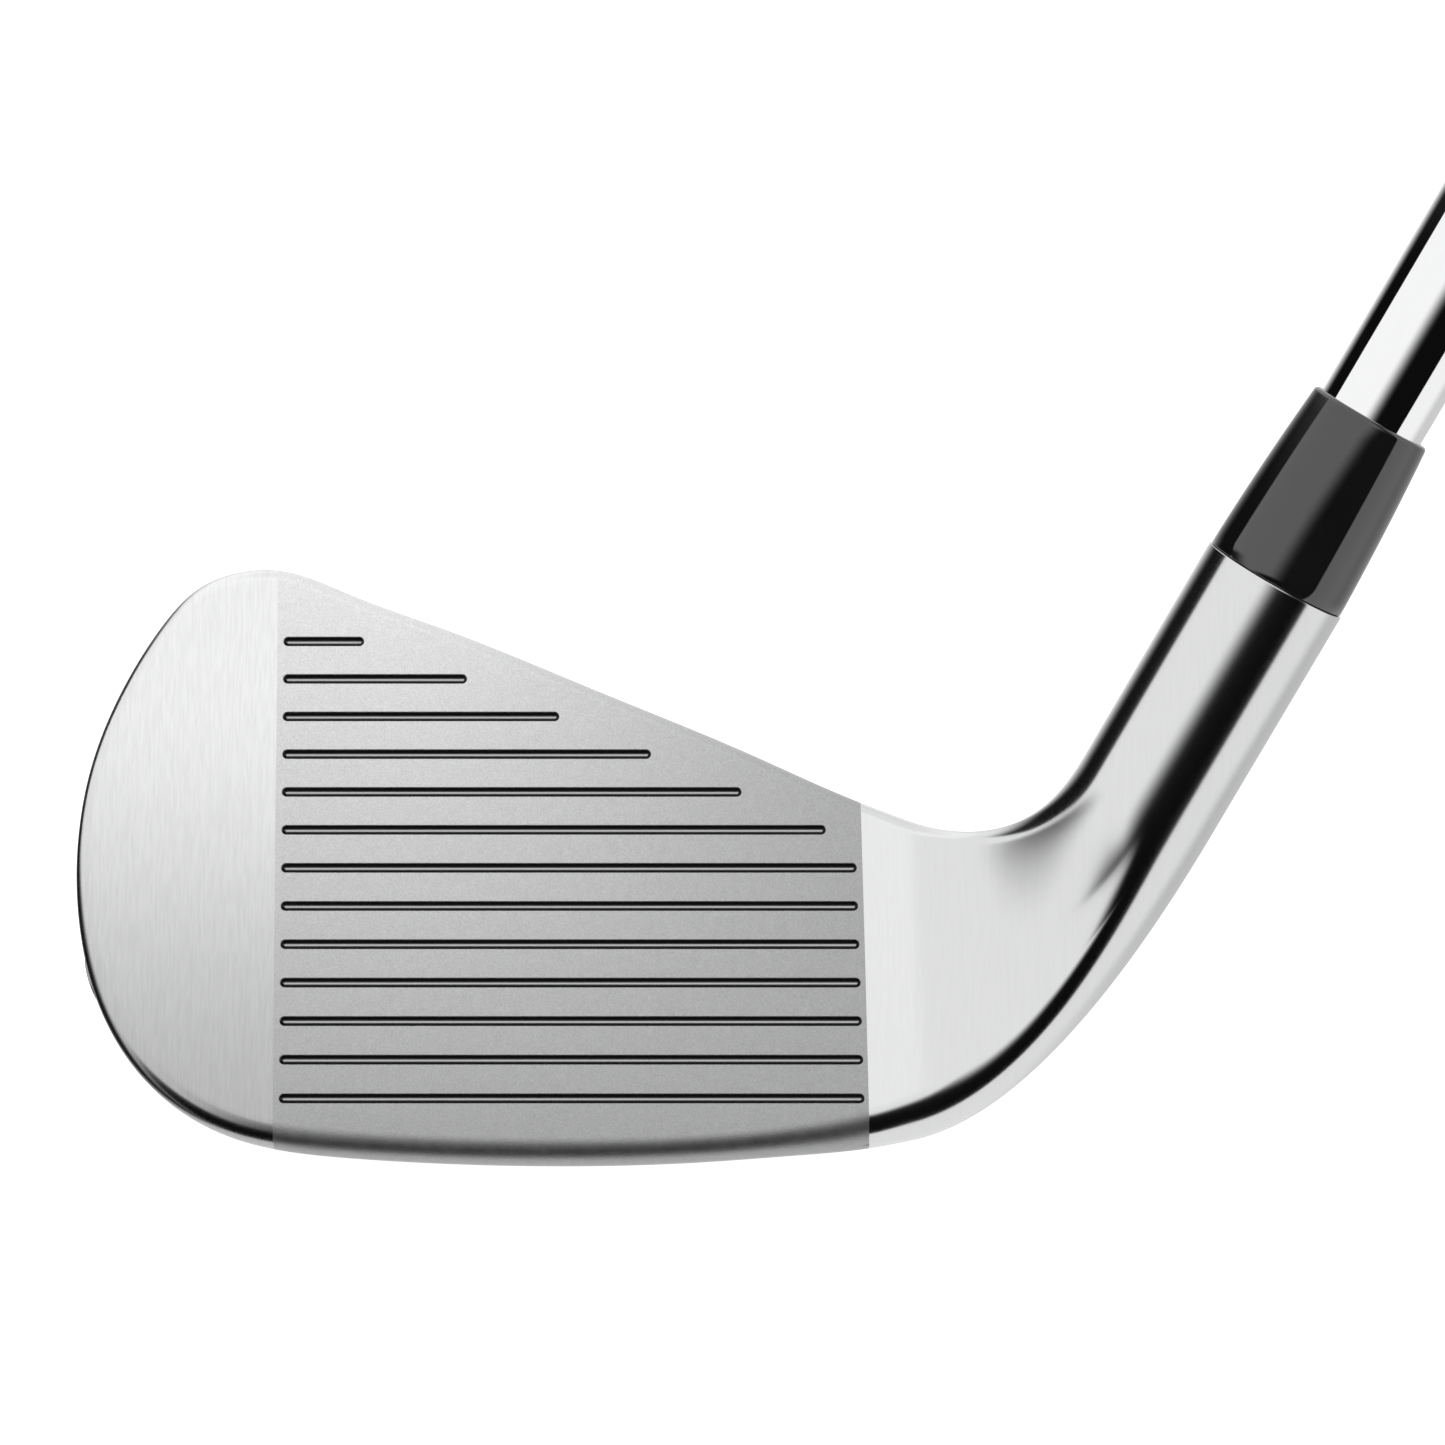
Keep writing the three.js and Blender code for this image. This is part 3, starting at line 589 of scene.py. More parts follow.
def sideRows(side):
    # half-sections from the toe end along the blade, through the neck, to the hosel's rim
    sign = 1 if side == "top" else -1
    shares = np.concatenate([
        np.linspace(0, borderShare, stations["blade"] + 1),
        np.linspace(borderShare, 1, stations["heel"] + 1)[1:],
    ])
    rows = [bladeProfile(rimAt(side, f), spineAt(f)) for f in shares]
    early = head["neckSlopeFrom"]
    before, last = bladeProfile(rimAt(side, early), spineAt(early)), rows[-1]
    run = np.concatenate([[0], np.cumsum(np.linalg.norm(np.diff(last, axis=0), axis=1))])
    marks = [0, steps["front"], steps["front"] + steps["arc"], wallEndAt, backArcEnd, len(last) - 1]
    angles = steadyRise(run[marks], np.radians(head["neckMarks"][side]), run)
    end = hoselRing(angles, sign, club["hoselTop"] - head["hoselStraight"], head["hoselRadius"])
    rim = sign * np.sin(angles)[:, None]
    chord = np.linalg.norm(end - last, axis=1)[:, None]
    leave = last - before
    leave = leave / np.linalg.norm(leave, axis=1)[:, None]
    leave = leave * chord * (head["neckLeave"] + head["neckEase"] * rim)
    arrive = shaftDir * chord * (head["neckArrive"] + head["neckEase"] * rim)
    for i in range(1, stations["neck"]):
        a, b, c, d = hermite(i / stations["neck"])
        rows.append(last * a + leave * b + end * c + arrive * d)
    rows.append(end)
    bevel, top = head["hoselBevel"], club["hoselTop"]
    rings = [(head["hoselMiddle"], 0), (bevel, 0), (0.3 * bevel, 0.3 * bevel), (0, bevel)]
    for below, inset in rings:
        rows.append(hoselRing(angles, sign, top - below, head["hoselRadius"] - inset))
    rows.append(hoselRing(angles, sign, top, head["boreRadius"]))
    rows.append(hoselRing(angles, sign, top - head["boreShown"], head["boreRadius"]))
    rows.append(np.repeat([axisFoot + shaftDir * (top - head["boreShown"])], len(last), axis=0))
    return rows


topRows, soleRows = sideRows("top"), sideRows("sole")
toeCurve = outline[(outlineAt >= knots[joinTop]) & (outlineAt <= knots[joinSole])]
toeRun = np.concatenate([[0], np.cumsum(np.linalg.norm(np.diff(toeCurve, axis=0), axis=1))])
toeRows = []
for share in np.arange(1, stations["toe"]) / stations["toe"]:
    rim = np.array([np.interp(share * toeRun[-1], toeRun, toeCurve[:, k]) for k in (0, 1)])
    toeRows.append(bladeProfile(rim, toeCentre))
columns = len(topRows[0])
blade = stations["blade"]


def backWalls(thickness, height, start):
    # strips from the topline edge down behind the face and out to the sole edge, and the two end walls
    up = (height + thickness * sinLoft) / cosLoft
    rows = []
    for i in range(blade + 1):
        sole = soleRows[i][skirtEnd]
        share = borderShare * i / blade
        upTop, upSole = rimAt("top", share), rimAt("sole", share)
        x = np.interp(up, [upSole[1], upTop[1]], [upSole[0], upTop[0]])
        flat, lip = onFace(x, up, thickness), np.array([sole[0], sole[1], height])
        rows.append([topRows[i][skirtEnd], flat, lip, sole])
    parts = [(np.array(rows).reshape(-1, 3), gridFaces(blade + 1, 4), 0)]
    for i in (0, blade):
        topEdge = topRows[i][start:skirtEnd + 1][::-1]
        soleEdge = soleRows[i][max(start, 1):skirtEnd + 1]
        loop = np.concatenate([topEdge, soleEdge, rows[i][2:0:-1]])
        parts.append((loop, [tuple(range(len(loop)))], 0))
    return parts


def buildHead():
    rows = topRows[::-1] + toeRows + soleRows
    first = len(topRows) - 1  # row of the toe end's first section
    lastToe = first + len(toeRows) + 1
    points = np.array(rows).reshape(-1, 3)
    faces = []
    for i in range(len(rows) - 1):
        inTop = first - blade <= i < first
        inSole = lastToe <= i < lastToe + blade
        start = skirtEnd if inTop or inSole else 0  # the insert takes the front of these
        for j in range(start, columns - 1):
            a, b = i * columns + j, (i + 1) * columns + j
            faces.append((a, a + 1, b + 1, b))
    parts = [(points, faces, 0)] + backWalls(head["insertDepth"], head["insertSoleHeight"], 0)
    return makePiece("headBody", parts, ["polishedChrome"])


# Scoring lines in the face
groove = {
    "count": 13,
    "pitch": 3.607,
    "first": 8.38,
    "inset": 1.0,  # finish border to the centre of a groove's round end
    "endRadius": 0.45,
    "heelBorderUp": (4.2, 36.5),  # heights between which the heel border runs
    "belowTopline": 4.2,
    # half width and depth: three rings of blasted rim, then the walls and the floor
    "section": [
        (0.51, 0.0), (0.475, 0.0), (0.45, 0.015), (0.42, 0.06), (0.14, 0.4), (0.1, 0.44), (0.05, 0.45),
    ],
    "rimRings": 3,
    "endSteps": 10,
}


def grooveEnds(up):
    toeHeights = [outlinePoints[joinSole][1], outlinePoints[joinTop][1]]
    toeBorder = np.interp(up, toeHeights, [toeX["sole"], toeX["top"]])
    heelBorder = np.interp(up, groove["heelBorderUp"], [borderX["sole"], borderX["top"]])
    under = np.interp(up + groove["belowTopline"], topPart[:, 1], topPart[:, 0])
    right = min(heelBorder - groove["inset"], under - groove["endRadius"])
    return toeBorder + groove["inset"], right


def grooveLoop(up, half):
    left, right = grooveEnds(up)
    turn = np.linspace(math.pi / 2, 3 * math.pi / 2, groove["endSteps"] + 1)
    one = np.stack([left + half * np.cos(turn), up + half * np.sin(turn)], -1)
    other = np.stack([right - half * np.cos(turn), up - half * np.sin(turn)], -1)
    return np.concatenate([one, other])


def buildInsert():
    front = steps["front"]
    parts = []
    for rows in (topRows, soleRows):
        strip = np.array([rows[i][front:skirtEnd + 1] for i in range(blade + 1)])
        parts.append((strip.reshape(-1, 3), gridFaces(blade + 1, skirtEnd + 1 - front), 0))
    edge = [topRows[i][front] for i in range(blade + 1)]
    edge = np.array(edge + [soleRows[i][front] for i in range(blade, -1, -1)])
    up = (edge[:, 1] - club["faceFootY"]) * sinLoft + edge[:, 2] * cosLoft
    flat = [Vector((x, u)) for x, u in zip(edge[:, 0], up)]
    links = [(i, (i + 1) % len(flat)) for i in range(len(flat))]
    ups = [groove["first"] + groove["pitch"] * i for i in range(groove["count"])]
    for up in ups:
        loop = grooveLoop(up, groove["section"][0][0])
        start = len(flat)
        flat += [Vector(p) for p in loop]
        links += [(start + i, start + (i + 1) % len(loop)) for i in range(len(loop))]
    filled = delaunay_2d_cdt(flat, links, [], 4, 1e-6)
    spots = np.array([tuple(p) for p in filled[0]])
    inside = []
    for face in filled[2]:
        middle = spots[list(face)].mean(axis=0)
        near = min(ups, key=lambda u: abs(u - middle[1]))
        left, right = grooveEnds(near)
        away = math.hypot(middle[0] - min(max(middle[0], left), right), middle[1] - near)
        if away > groove["section"][0][0] - 0.01:
            inside.append(tuple(face))
    parts.append((onFace(spots[:, 0], spots[:, 1], 0.0), inside, 0))
    count = len(groove["section"])
    for up in ups:
        loops = [(grooveLoop(up, half), depth) for half, depth in groove["section"]]
        size = len(loops[0][0])
        points = np.concatenate([onFace(loop[:, 0], loop[:, 1], depth) for loop, depth in loops])
        faces = ringFaces(count, size)
        rim = groove["rimRings"] * size
        parts.append((points, faces[:rim], 0))
        parts.append((points, faces[rim:] + [tuple(range((count - 1) * size, count * size))], 1))
    gap = head["insertGap"]
    parts += backWalls(head["insertDepth"] - gap, head["insertSoleHeight"] - gap, front)
    return makePiece("faceInsert", parts, ["blastedSteel", "milledSteelAndWallShade"], 50.0)


headBody = buildHead()
faceInsert = buildInsert()
print("club: head made,", len(headBody.data.polygons), "and", len(faceInsert.data.polygons), "faces")

# Back plate, standing a little proud of the back
plate = {
    "x": (-21.0, 21.0), "up": (11.0, 20.0), "corner": 2.2,
    "proud": 0.3, "sunk": 1.2, "edge": 0.35, "soft": 0.1,
}


def buildPlate():
    (x0, x1), (up0, up1), corner = plate["x"], plate["up"], plate["corner"]
    outlineLoop = []
    for cx, cu, start in ((x1, up1, 0), (x0, up1, 90), (x0, up0, 180), (x1, up0, 270)):
        for turn in np.radians(np.linspace(start, start + 90, 9)):
            inX, inUp = cx - math.copysign(corner, cx), cu - (corner if cu == up1 else -corner)
            outlineLoop.append((inX + corner * math.cos(turn), inUp + corner * math.sin(turn)))
    loop = np.array(outlineLoop)
    centre = np.array([0.0, (up0 + up1) / 2])
    sunk, proud, edge, soft = plate["sunk"], plate["proud"], plate["edge"], plate["soft"]

    def against(ring, height):
        return onFace(ring[:, 0], ring[:, 1], backDepth(ring[:, 1]) + height)

    levels = ((0, -sunk), (0, proud - edge), (soft, proud - soft), (edge, proud))
    rings = [against(loop - np.sign(loop - centre) * inset, height) for inset, height in levels]
    size = len(loop)
    parts = [(np.concatenate(rings), ringFaces(len(rings), size), 0)]
    across, upward = np.linspace(x0 + 3, x1 - 3, 12), np.linspace(up0 + 1, up1 - 1, 8)
    grid = [Vector((x, u)) for u in upward for x in across]  # lets the faces follow the curved back
    top = loop - np.sign(loop - centre) * edge
    for ring, height in ((top, proud), (loop, -sunk)):
        flat = [Vector(p) for p in ring] + grid
        filled = delaunay_2d_cdt(flat, [(i, (i + 1) % size) for i in range(size)], [], 1, 1e-6)
        spots = np.array([tuple(p) for p in filled[0]])
        parts.append((against(spots, height), [tuple(f) for f in filled[2]], 0))
    return makePiece("backPlate", parts, ["plateDark"], 35.0)


backPlate = buildPlate()

# Toe screw with a six-sided recess, square to the toe where it sits
screw = {
    "up": 19.5, "depth": 5.8, "radius": 3.2, "sides": 48,
    "proud": 0.12, "sunk": 1.5, "edge": 0.3, "soft": 0.09,
    "recess": 1.35, "recessDepth": 1.6, "recessEdge": (0.12, 0.1),
}


def buildScrew():
    grid = np.array(toeRows)
    target = onFace(outline[:, 0].min(), screw["up"], screw["depth"])
    row, column = np.unravel_index(np.argmin(np.linalg.norm(grid - target, axis=-1)), grid.shape[:2])
    at = grid[row, column]
    along = grid[row + 1, column] - grid[row - 1, column]
    away = np.cross(along, grid[row, column + 1] - grid[row, column - 1])
    away = away / np.linalg.norm(away) * (-1 if away[0] > 0 else 1)
    acrossWay = np.cross(away, [0.0, 1.0, 0.0])
    acrossWay = acrossWay / np.linalg.norm(acrossWay)
    upWay = np.cross(away, acrossWay)
    sides = screw["sides"]
    turn = np.arange(sides) * 2 * math.pi / sides
    sixth = math.pi / 3
    hexReach = screw["recess"] / np.cos((turn + sixth / 2) % sixth - sixth / 2)
    radius, proud = np.full(sides, screw["radius"]), screw["proud"]
    edge, soft, (wide, deep) = screw["edge"], screw["soft"], screw["recessEdge"]
    rings = [
        (radius, -screw["sunk"]), (radius, proud - edge), (radius - soft, proud - soft),
        (radius - edge, proud), (hexReach + wide, proud), (hexReach, proud - deep),
        (hexReach, proud - screw["recessDepth"]),
    ]
    cosines, sines = np.cos(turn), np.sin(turn)
    points = np.concatenate([
        at + away * height + (reach * cosines)[:, None] * acrossWay + (reach * sines)[:, None] * upWay
        for reach, height in rings
    ])
    faces = ringFaces(len(rings), sides)
    faces += [tuple(range(sides)), tuple(range((len(rings) - 1) * sides, len(rings) * sides))]
    return makePiece("toeScrew", [(points, faces, 0)], ["screwSteel"], 35.0)


toeScrew = buildScrew()

# Ferrule
ferrule = {
    "length": 16.8, "upperEnd": 0.28, "gap": 0.02,
    "base": 6.75, "baseEdge": 0.12, "top": 5.8, "rim": 0.42,
    "bore": 5.12, "swell": 0.12, "segments": 128,
}


def buildFerrule():
    low = club["hoselTop"] + ferrule["gap"]
    high = low + ferrule["upperEnd"] + ferrule["length"]
    edge = ferrule["baseEdge"]
    side = np.linspace(0, 1, 13)
    swell = ferrule["swell"] * 4 * side * (1 - side)
    radius = ferrule["base"] + (ferrule["top"] - ferrule["base"]) * side + swell
    along = low + edge + (high - ferrule["rim"] - low - edge) * side
    turn = np.linspace(0, math.pi / 2, 7)[1:]
    rimRadius = ferrule["top"] - ferrule["rim"] * (1 - np.cos(turn))
    rimAlong = high - ferrule["rim"] + ferrule["rim"] * np.sin(turn)
    profile = [(ferrule["bore"], low), (ferrule["base"] - edge, low)] + list(zip(radius, along))
    profile += list(zip(rimRadius, rimAlong)) + [(ferrule["bore"], high)]
    points, faces = turned(profile, ferrule["segments"])
    return makePiece("ferruleSleeve", [(onShaft(points), faces, 0)], ["glossBlack"], 50.0)


ferruleSleeve = buildFerrule()
print("club: ferrule made")


# Node trees for pieces whose shape follows a rule
class Tree(Graph):
    def __init__(self, name, inputs, takesMesh=False):
        tree = bpy.data.node_groups.new(name, "GeometryNodeTree")
        super().__init__(tree)
        if takesMesh:
            tree.interface.new_socket("Mesh", in_out="INPUT", socket_type="NodeSocketGeometry")
        for label, value in inputs.items():
            kind = "NodeSocketInt" if isinstance(value, int) else "NodeSocketFloat"
            tree.interface.new_socket(label, in_out="INPUT", socket_type=kind)
        tree.interface.new_socket("Mesh", in_out="OUTPUT", socket_type="NodeSocketGeometry")
        self.inputs = inputs
        entry = tree.nodes.new("NodeGroupInput")
        self.entry = {s.name: Wire(self, s) for s in entry.outputs if s.name}

    def finish(self, geometry, material):
        real = self.add("GeometryNodeRealizeInstances", None, {"Geometry": geometry})[0]
        dressed = self.add("GeometryNodeSetMaterial", None, {"Geometry": real, "Material": material})[0]
        self.add("NodeGroupOutput", None, {0: dressed})

    def run(self, name, mesh):
        # the tree's result as a mesh, turned onto the shaft axis
        draft = put(name + "Draft", mesh)
        modifier = draft.modifiers.new(name, "NODES")
        modifier.node_group = self.tree
        for item in self.tree.interface.items_tree:
            if item.in_out == "INPUT" and item.name in self.inputs:
                modifier[item.identifier] = self.inputs[item.name]
        baked = bakeObject(draft, name)
        result = baked.data.copy()
        bpy.data.objects.remove(baked)
        result.transform(shaftMatrix())
        return result


# Shaft
tube = {
    "Start": 37.5 * mm,
    "Ferrule Base": 64.3 * mm,
    "First Step": 254.3 * mm,
    "Step Pitch": 44.45 * mm,
    "Step Length": 1.5 * mm,
    "Step Count": 13,
    "End": 980.8 * mm,
    "Tip Radius": 4.7 * mm,
    "Low Radius": 5.1 * mm,
    "Butt Radius": 7.62 * mm,
    "Sides": 96,
}


def buildShaft():
    graph = Tree("steppedTube", tube)
    get = graph.entry
    count = get["Step Count"] * 2 + 4
    line = graph.add("GeometryNodeCurvePrimitiveLine", None, {"End": (0, 0, 1)})[0]
    line = graph.add("GeometryNodeResampleCurve", None, {"Curve": line, "Count": count})[0]
    index = graph.add("GeometryNodeInputIndex")[0]
    treads = ((index - 2) / 2.0).maths("FLOOR")  # steps already climbed
    step = ((index - 3) / 2.0).maths("FLOOR")
    odd = (index - 3).maths("MODULO", 2.0)
    along = get["First Step"] + step * get["Step Pitch"] + odd * get["Step Length"]
    rise = (get["Butt Radius"] - get["Low Radius"]) / get["Step Count"]
    radius = get["Low Radius"] + treads * rise

    def choose(test, value, yes, no):
        settings = {"data_type": "FLOAT", "operation": test}
        hit = graph.add("FunctionNodeCompare", settings, {"A": index, "B": value})[0]
        values = {"Switch": hit, "False": no, "True": yes}
        return graph.add("GeometryNodeSwitch", {"input_type": "FLOAT"}, values)[0]

    along = choose("LESS_THAN", 2.5, get["Ferrule Base"] + 0.008, along)
    along = choose("LESS_THAN", 1.5, get["Ferrule Base"], along)
    along = choose("LESS_THAN", 0.5, get["Start"], along)
    along = choose("GREATER_THAN", count - 1.5, get["End"], along)
    radius = choose("LESS_THAN", 1.5, get["Tip Radius"], radius)
    place = graph.add("ShaderNodeCombineXYZ", None, {"Z": along})[0]
    line = graph.add("GeometryNodeSetPosition", None, {"Geometry": line, "Position": place})[0]
    line = graph.add("GeometryNodeSetCurveRadius", None, {"Curve": line, "Radius": radius})[0]
    ring = graph.add("GeometryNodeCurvePrimitiveCircle", None, {"Resolution": get["Sides"], "Radius": 1.0})[0]
    values = {"Curve": line, "Profile Curve": ring, "Fill Caps": True, "Scale": radius}
    body = graph.add("GeometryNodeCurveToMesh", None, values)[0]
    graph.finish(body, materials["shaftChrome"])
    mesh = graph.run("shaftTube", bpy.data.meshes.new("shaftLine"))
    return finishPiece("shaftTube", mesh, 50.0)


shaftTube = buildShaft()
print("club: shaft made,", len(shaftTube.data.polygons), "faces")

# Band round the shaft
band = {"above": 150.0, "length": 36.0, "inside": 5.0, "radius": 5.35, "edge": 0.12}


def buildBand():
    low = club["hoselTop"] + band["above"]
    high, radius, edge = low + band["length"], band["radius"], band["edge"]
    profile = [
        (band["inside"], low), (radius - edge, low), (radius, low + edge),
        (radius, high - edge), (radius - edge, high), (band["inside"], high),
    ]
    points, faces = turned(profile, 96)
    return makePiece("shaftBand", [(onShaft(points), faces, 0)], ["bandGrey"], 50.0)


shaftBand = buildBand()

# Grip: moulded sleeve with raised lozenges in rings
grip = {
    "Mouth": 717.0 * mm,
    "Length": 267.0 * mm,
    "Mouth Radius": 9.9 * mm,
    "Butt Radius": 13.6 * mm,
    "Ring Count": 62,
    "Ring Pitch": 3.7 * mm,
    "Studs Per Ring": 26,
    "First Ring": 14.0 * mm,
    "Stud Size": 0.62 * mm,
    "Stud Height": 0.45 * mm,
}


mould = {
    "inside": 8.4, "fromEnd": 6.0, "clear": 0.9,
    "lip": [(9.15, 0.0), (9.5, 0.25), (9.75, 0.8), (9.9, 1.6)],  # radius, height above the mouth
    "bodyFrom": 2.2, "under": 0.05,
    "lowRings": (5, 7.5, 10), "highRings": (6, 3.5),
    "ring": [(0.05, -0.6), (0.45, -0.35), (0.45, 0.35), (0.05, 0.6)],
}


def gripRadius(along):
    share = np.clip((along - grip["Mouth"] / mm) / (grip["Length"] / mm), 0, 1)
    return (grip["Mouth Radius"] + (grip["Butt Radius"] - grip["Mouth Radius"]) * share ** 1.3) / mm


def buildGrip():
    low = grip["Mouth"] / mm
    high = club["length"] - mould["fromEnd"]
    lip = [(radius, low + above) for radius, above in mould["lip"]]
    rings = [low + above for above in mould["lowRings"]]
    rings += [high - below for below in mould["highRings"]]
    body = [(gripRadius(along) - mould["under"], along)
            for along in np.linspace(low + mould["bodyFrom"], high, 90)]
    profile = lip + [p for p in body if min(abs(p[1] - r) for r in rings) > mould["clear"]]
    for at in rings:
        profile += [(gripRadius(at) - sunk, at + away) for sunk, away in mould["ring"]]
    inside = mould["inside"]
    profile = [(inside, low)] + sorted(profile, key=lambda p: p[1]) + [(inside, high)]
    points, faces = turned(profile, 96)
    sleeve = bpy.data.meshes.new("gripSleeve")
    sleeve.from_pydata((points * mm).tolist(), [], faces)

    graph = Tree("gripStuds", grip, takesMesh=True)
    get = graph.entry
    total = get["Ring Count"] * get["Studs Per Ring"]
    dots = graph.add("GeometryNodePoints", None, {"Count": total})[0]
    index = graph.add("GeometryNodeInputIndex")[0]
    ring = (index / get["Studs Per Ring"] + 0.0001).maths("FLOOR")
    place = index - ring * get["Studs Per Ring"]
    shift = ring.maths("MODULO", 2.0) * 0.5
    turn = (place + shift) * (2 * math.pi) / get["Studs Per Ring"]
    fromMouth = get["First Ring"] + ring * get["Ring Pitch"]
    share = fromMouth / get["Length"]
    radius = get["Mouth Radius"] + (get["Butt Radius"] - get["Mouth Radius"]) * share ** 1.3 - 0.0002
    x, y = radius * turn.maths("COSINE"), radius * turn.maths("SINE")
    where = graph.add("ShaderNodeCombineXYZ", None, {"X": x, "Y": y, "Z": get["Mouth"] + fromMouth})[0]
    dots = graph.add("GeometryNodeSetPosition", None, {"Geometry": dots, "Position": where})[0]
    out = graph.add("ShaderNodeCombineXYZ", None, {"X": x, "Y": y, "Z": 0.0})[0]
    aim = graph.add("FunctionNodeAlignRotationToVector", {"axis": "Z"}, {"Vector": out})[0]
    aim = graph.add("FunctionNodeAlignRotationToVector", {"axis": "X", "pivot_axis": "Z"},
                    {"Rotation": aim, "Vector": (0.0, 0.0, 1.0)})[0]
    stud = graph.add("GeometryNodeMeshCone", {"fill_type": "NGON"}, {
        "Vertices": 4, "Depth": get["Stud Height"],
        "Radius Bottom": get["Stud Size"], "Radius Top": get["Stud Size"] * 0.55,
    })[0]
    studs = graph.add("GeometryNodeInstanceOnPoints", None, {
        "Points": dots, "Instance": stud, "Rotation": aim, "Scale": (1.9, 1.15, 1.0),
    })[0]
    both = graph.tree.nodes.new("GeometryNodeJoinGeometry")
    graph.tree.links.new(studs.socket, both.inputs[0])
    graph.tree.links.new(get["Mesh"].socket, both.inputs[0])
    graph.finish(Wire(graph, both.outputs[0]), materials["gripRubber"])
    mesh = graph.run("gripSleeve", sleeve)
    build = bmesh.new()
    build.from_mesh(mesh)
    bmesh.ops.recalc_face_normals(build, faces=build.faces)
    build.to_mesh(mesh)
    build.free()
    return finishPiece("gripSleeve", mesh, 35.0)


gripSleeve = buildGrip()

# Cap on the end of the grip, with a vent
cap = {
    "rim": 13.6, "edge": 2.0, "length": 6.0, "inside": 7.0, "lap": 0.05,
    "groove": (9.6, 9.2, 8.2, 7.8), "grooveDepth": 0.35,
    "vent": 1.6, "ventEdge": 0.3, "ventDepth": 5.0,
}


def buildCap():
    end, rim, edge = club["length"], cap["rim"], cap["edge"]
    low = end - cap["length"] + cap["lap"]
    turn = np.linspace(0, math.pi / 2, 9)
    outer = [(rim - edge * (1 - math.cos(t)), end - edge + edge * math.sin(t)) for t in turn]
    bottom, vent, soft = end - cap["grooveDepth"], cap["vent"], cap["ventEdge"]
    profile = [(cap["inside"], low), (rim - cap["lap"], low)] + outer
    profile += list(zip(cap["groove"], (end, bottom, bottom, end)))
    profile += [(vent + soft, end), (vent, end - soft)]
    profile += [(reach, end - cap["ventDepth"]) for reach in (vent, cap["inside"])]
    points, faces = turned(profile, 96)
    return makePiece("gripEnd", [(onShaft(points), faces, 0)], ["gripRubber"], 40.0)


gripEnd = buildCap()
print("club: grip made,", len(gripSleeve.data.polygons), "faces")

# Which imported node each piece stands for, and its finish slot
standIns = [
    (headBody, "head_body", "polished_chrome"),
    (faceInsert, "face_insert", "blasted_chrome"),
    (backPlate, "back_plate", "plate_dark"),
    (toeScrew, "toe_screw", "screw_steel"),
    (ferruleSleeve, "ferrule", "ferrule_black"),
    (shaftTube, "shaft", "shaft_chrome"),
    (shaftBand, "shaft_band", "band_grey"),
    (gripSleeve, "grip", "grip_rubber"),
    (gripEnd, "grip_cap", "cap_rubber"),
]
for piece, node, slotName in standIns:
    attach(piece, "root")
    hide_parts(node)

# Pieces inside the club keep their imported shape
inner = {
    "toe_weight": "tungsten",
    "heel_weight": "tungsten",
    "polymer_core": "corePolymer",
    "back_pad": "padFoam",
    "screw_seal": "sealRubber",
    "hosel_epoxy": "adhesive",
    "tip_plug": "plugBrass",
    "grip_tape": "tapePaper",
}
for node, finishName in inner.items():
    for slotIndex in range(len(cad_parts[node].material_slots)):
        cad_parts[node].material_slots[slotIndex].material = materials[finishName]
print("club: pieces ride on the frame")

# Pale floor
floorMesh = bpy.data.meshes.new("floor")
reach, drop = 6.0, -0.0002  # metres
corners = [(-reach, -reach, drop), (reach, -reach, drop), (reach, reach, drop), (-reach, reach, drop)]
floorMesh.from_pydata(corners, [], [(0, 1, 2, 3)])
floor = put("floor", floorMesh)


def paleFloor(graph):
    glow = graph.add("ShaderNodeEmission", None, {"Color": grey(1.0), "Strength": 0.96})[0]
    matt = graph.add("ShaderNodeBsdfDiffuse", None, {"Color": grey(0.5)})[0]
    return graph.add("ShaderNodeAddShader", None, {0: glow, 1: matt})[0]


floorMesh.materials.append(makeMaterial("paleFloor", paleFloor))
floor.visible_glossy = False

# Studio: soft cards and dark flags all round, laid out by their height along the shaft axis and
# by their bearing about it, in degrees from straight in front
studio = {
    "left": 0.97,  # big soft box over the toe side
    "right": 0.93,
    "rightFar": 0.62,
    "rightFarFrom": (-0.5, -0.15),  # only beside the hosel and above
    "behind": 0.9,
    "rightFrom": (20.0, 40.0),
    "rightFade": (88.0, 114.0),
    "behindRight": (145.0, 180.0),
    "behindLeft": (-165.0, -130.0),
    "leftFlag": (-180.0, -132.0, -103.0, -101.0),
    "leftFlagTop": (-0.02, 0.3),
    "frontFlag": (-26.0, 9.0, 1.7),  # soft edge
    "frontEdge": (53.2, 54.8),  # sharp edge
    # low down the soft edge reaches further left: heights, and degrees
    "frontSpread": ((-0.75, -0.5, 45.0), (-0.95, -0.7, 20.0)),
    "frontNarrow": (0.0, 0.28, 28.0),  # and higher up less far
    "black": 0.004,
    "lowShade": (-98.0, -66.0),  # low down the left flag reaches round to the front, softly
    "lowShadeDepth": 0.95,
    "lowShadeFrom": (-0.42, -0.22),
    "high": 0.13,
    "highFrom": (0.33, 0.5),
    "topDim": 0.15,  # overhead it gets darker again
    "topFrom": (0.6, 0.9),
}


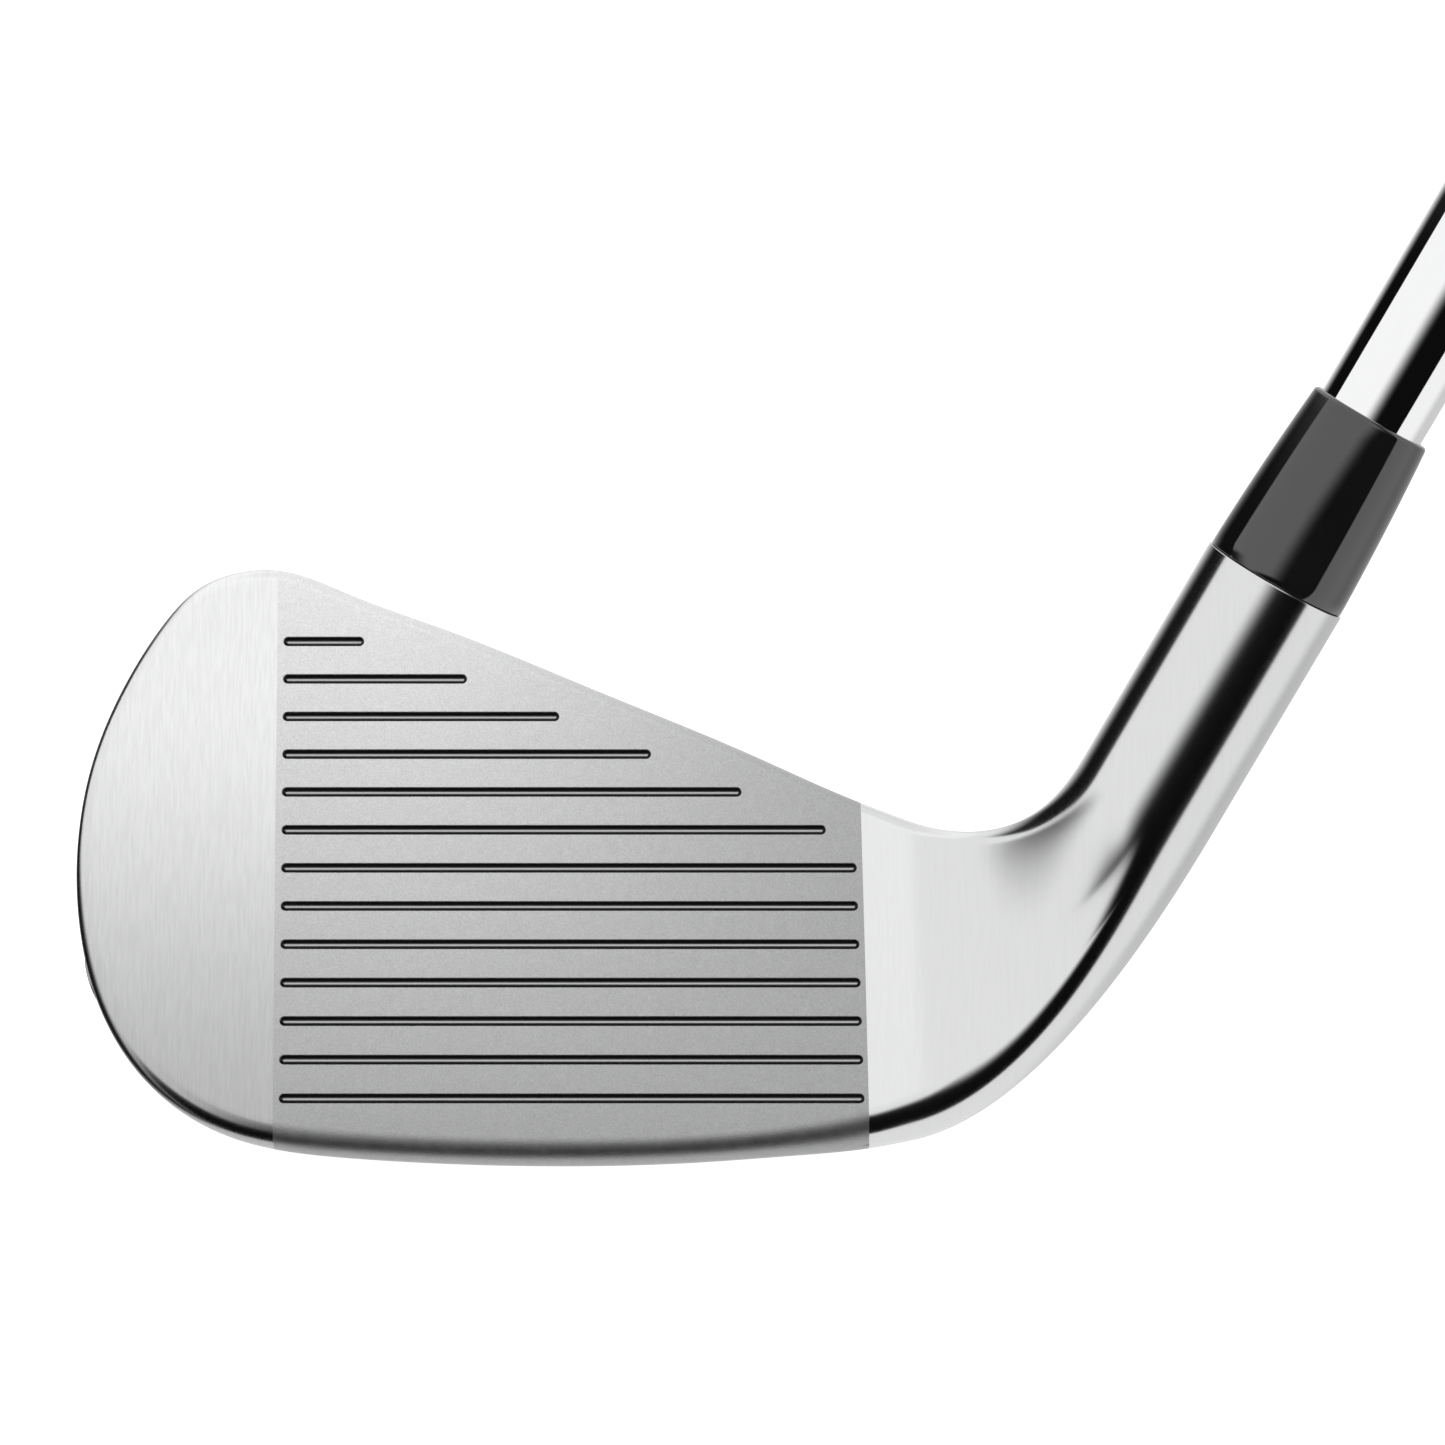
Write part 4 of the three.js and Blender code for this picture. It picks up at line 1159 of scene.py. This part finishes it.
def buildStudio():
    world = bpy.data.worlds.new("studio")
    scene.world = world
    world.use_nodes = True
    graph = Graph(world.node_tree)
    towards = graph.add("ShaderNodeTexCoord")[0]
    side, forward = graph.dot(towards, (sinLie, 0, -cosLie)), graph.dot(towards, (0, -1, 0))
    axial = graph.dot(towards, tuple(shaftDir))
    bearing = side.maths("ARCTAN2", forward) * (180 / math.pi)
    s = studio
    light = bearing.ramp(*s["behindLeft"], s["behind"], s["left"])
    light = light + bearing.ramp(*s["rightFrom"], 0.0, s["right"] - s["left"])
    upright = axial.ramp(*s["rightFarFrom"])
    light = light + bearing.ramp(*s["rightFade"], 0.0, s["rightFar"] - s["right"]) * upright
    light = light + bearing.ramp(*s["behindRight"], 0.0, s["behind"] - s["rightFar"]) * upright
    farEdge, nearEdge, nearLight, lit = s["leftFlag"]
    leftFlag = bearing.ramp(farEdge, nearEdge) * bearing.ramp(nearLight, lit, 1.0, 0.0)
    leftFlag = leftFlag * axial.ramp(*s["leftFlagTop"], 1.0, 0.0)
    narrowFrom, narrowTo, narrow = s["frontNarrow"]
    spread = bearing + axial.ramp(narrowFrom, narrowTo, 0.0, -narrow)
    for low, high, reach in s["frontSpread"]:
        spread = spread + axial.ramp(low, high, reach, 0.0)
    softStart, softEnd, fall = s["frontFlag"]
    frontFlag = 1 - spread.ramp(softStart, softEnd, 1.0, 0.0) ** fall
    frontFlag = frontFlag * bearing.ramp(*s["frontEdge"], 1.0, 0.0)
    lowShade = bearing.ramp(farEdge, nearEdge) * bearing.ramp(*s["lowShade"], s["lowShadeDepth"], 0.0)
    lowShade = lowShade * axial.ramp(*s["lowShadeFrom"], 1.0, 0.0)
    light = light * (1 - leftFlag) * (1 - frontFlag) * (1 - lowShade)
    light = light + axial.ramp(*s["highFrom"], 0.0, s["high"]) + axial.ramp(*s["topFrom"], 0.0, -s["topDim"])
    light = light + s["black"]
    isCamera = graph.add("ShaderNodeLightPath")[0]
    strength = light * (1 - isCamera) + isCamera
    glow = graph.add("ShaderNodeBackground", None, {"Color": grey(1.0), "Strength": strength})[0]
    graph.add("ShaderNodeOutputWorld", None, {"Surface": glow})


buildStudio()

# Camera in front of the head
camera = {"at": (14.15, -437.84, 127.16), "down": 11.0, "lens": 120.03}
lens = bpy.data.cameras.new("camera")
lens.lens = camera["lens"]
lens.sensor_width = 36.0
lens.clip_start = 0.01
viewer = put("camera", lens)
viewer.location = Vector(camera["at"]) * mm
viewer.rotation_euler = (math.radians(90 - camera["down"]), 0, 0)
scene.camera = viewer
scene.view_settings.view_transform = "Standard"
scene.view_settings.look = "None"
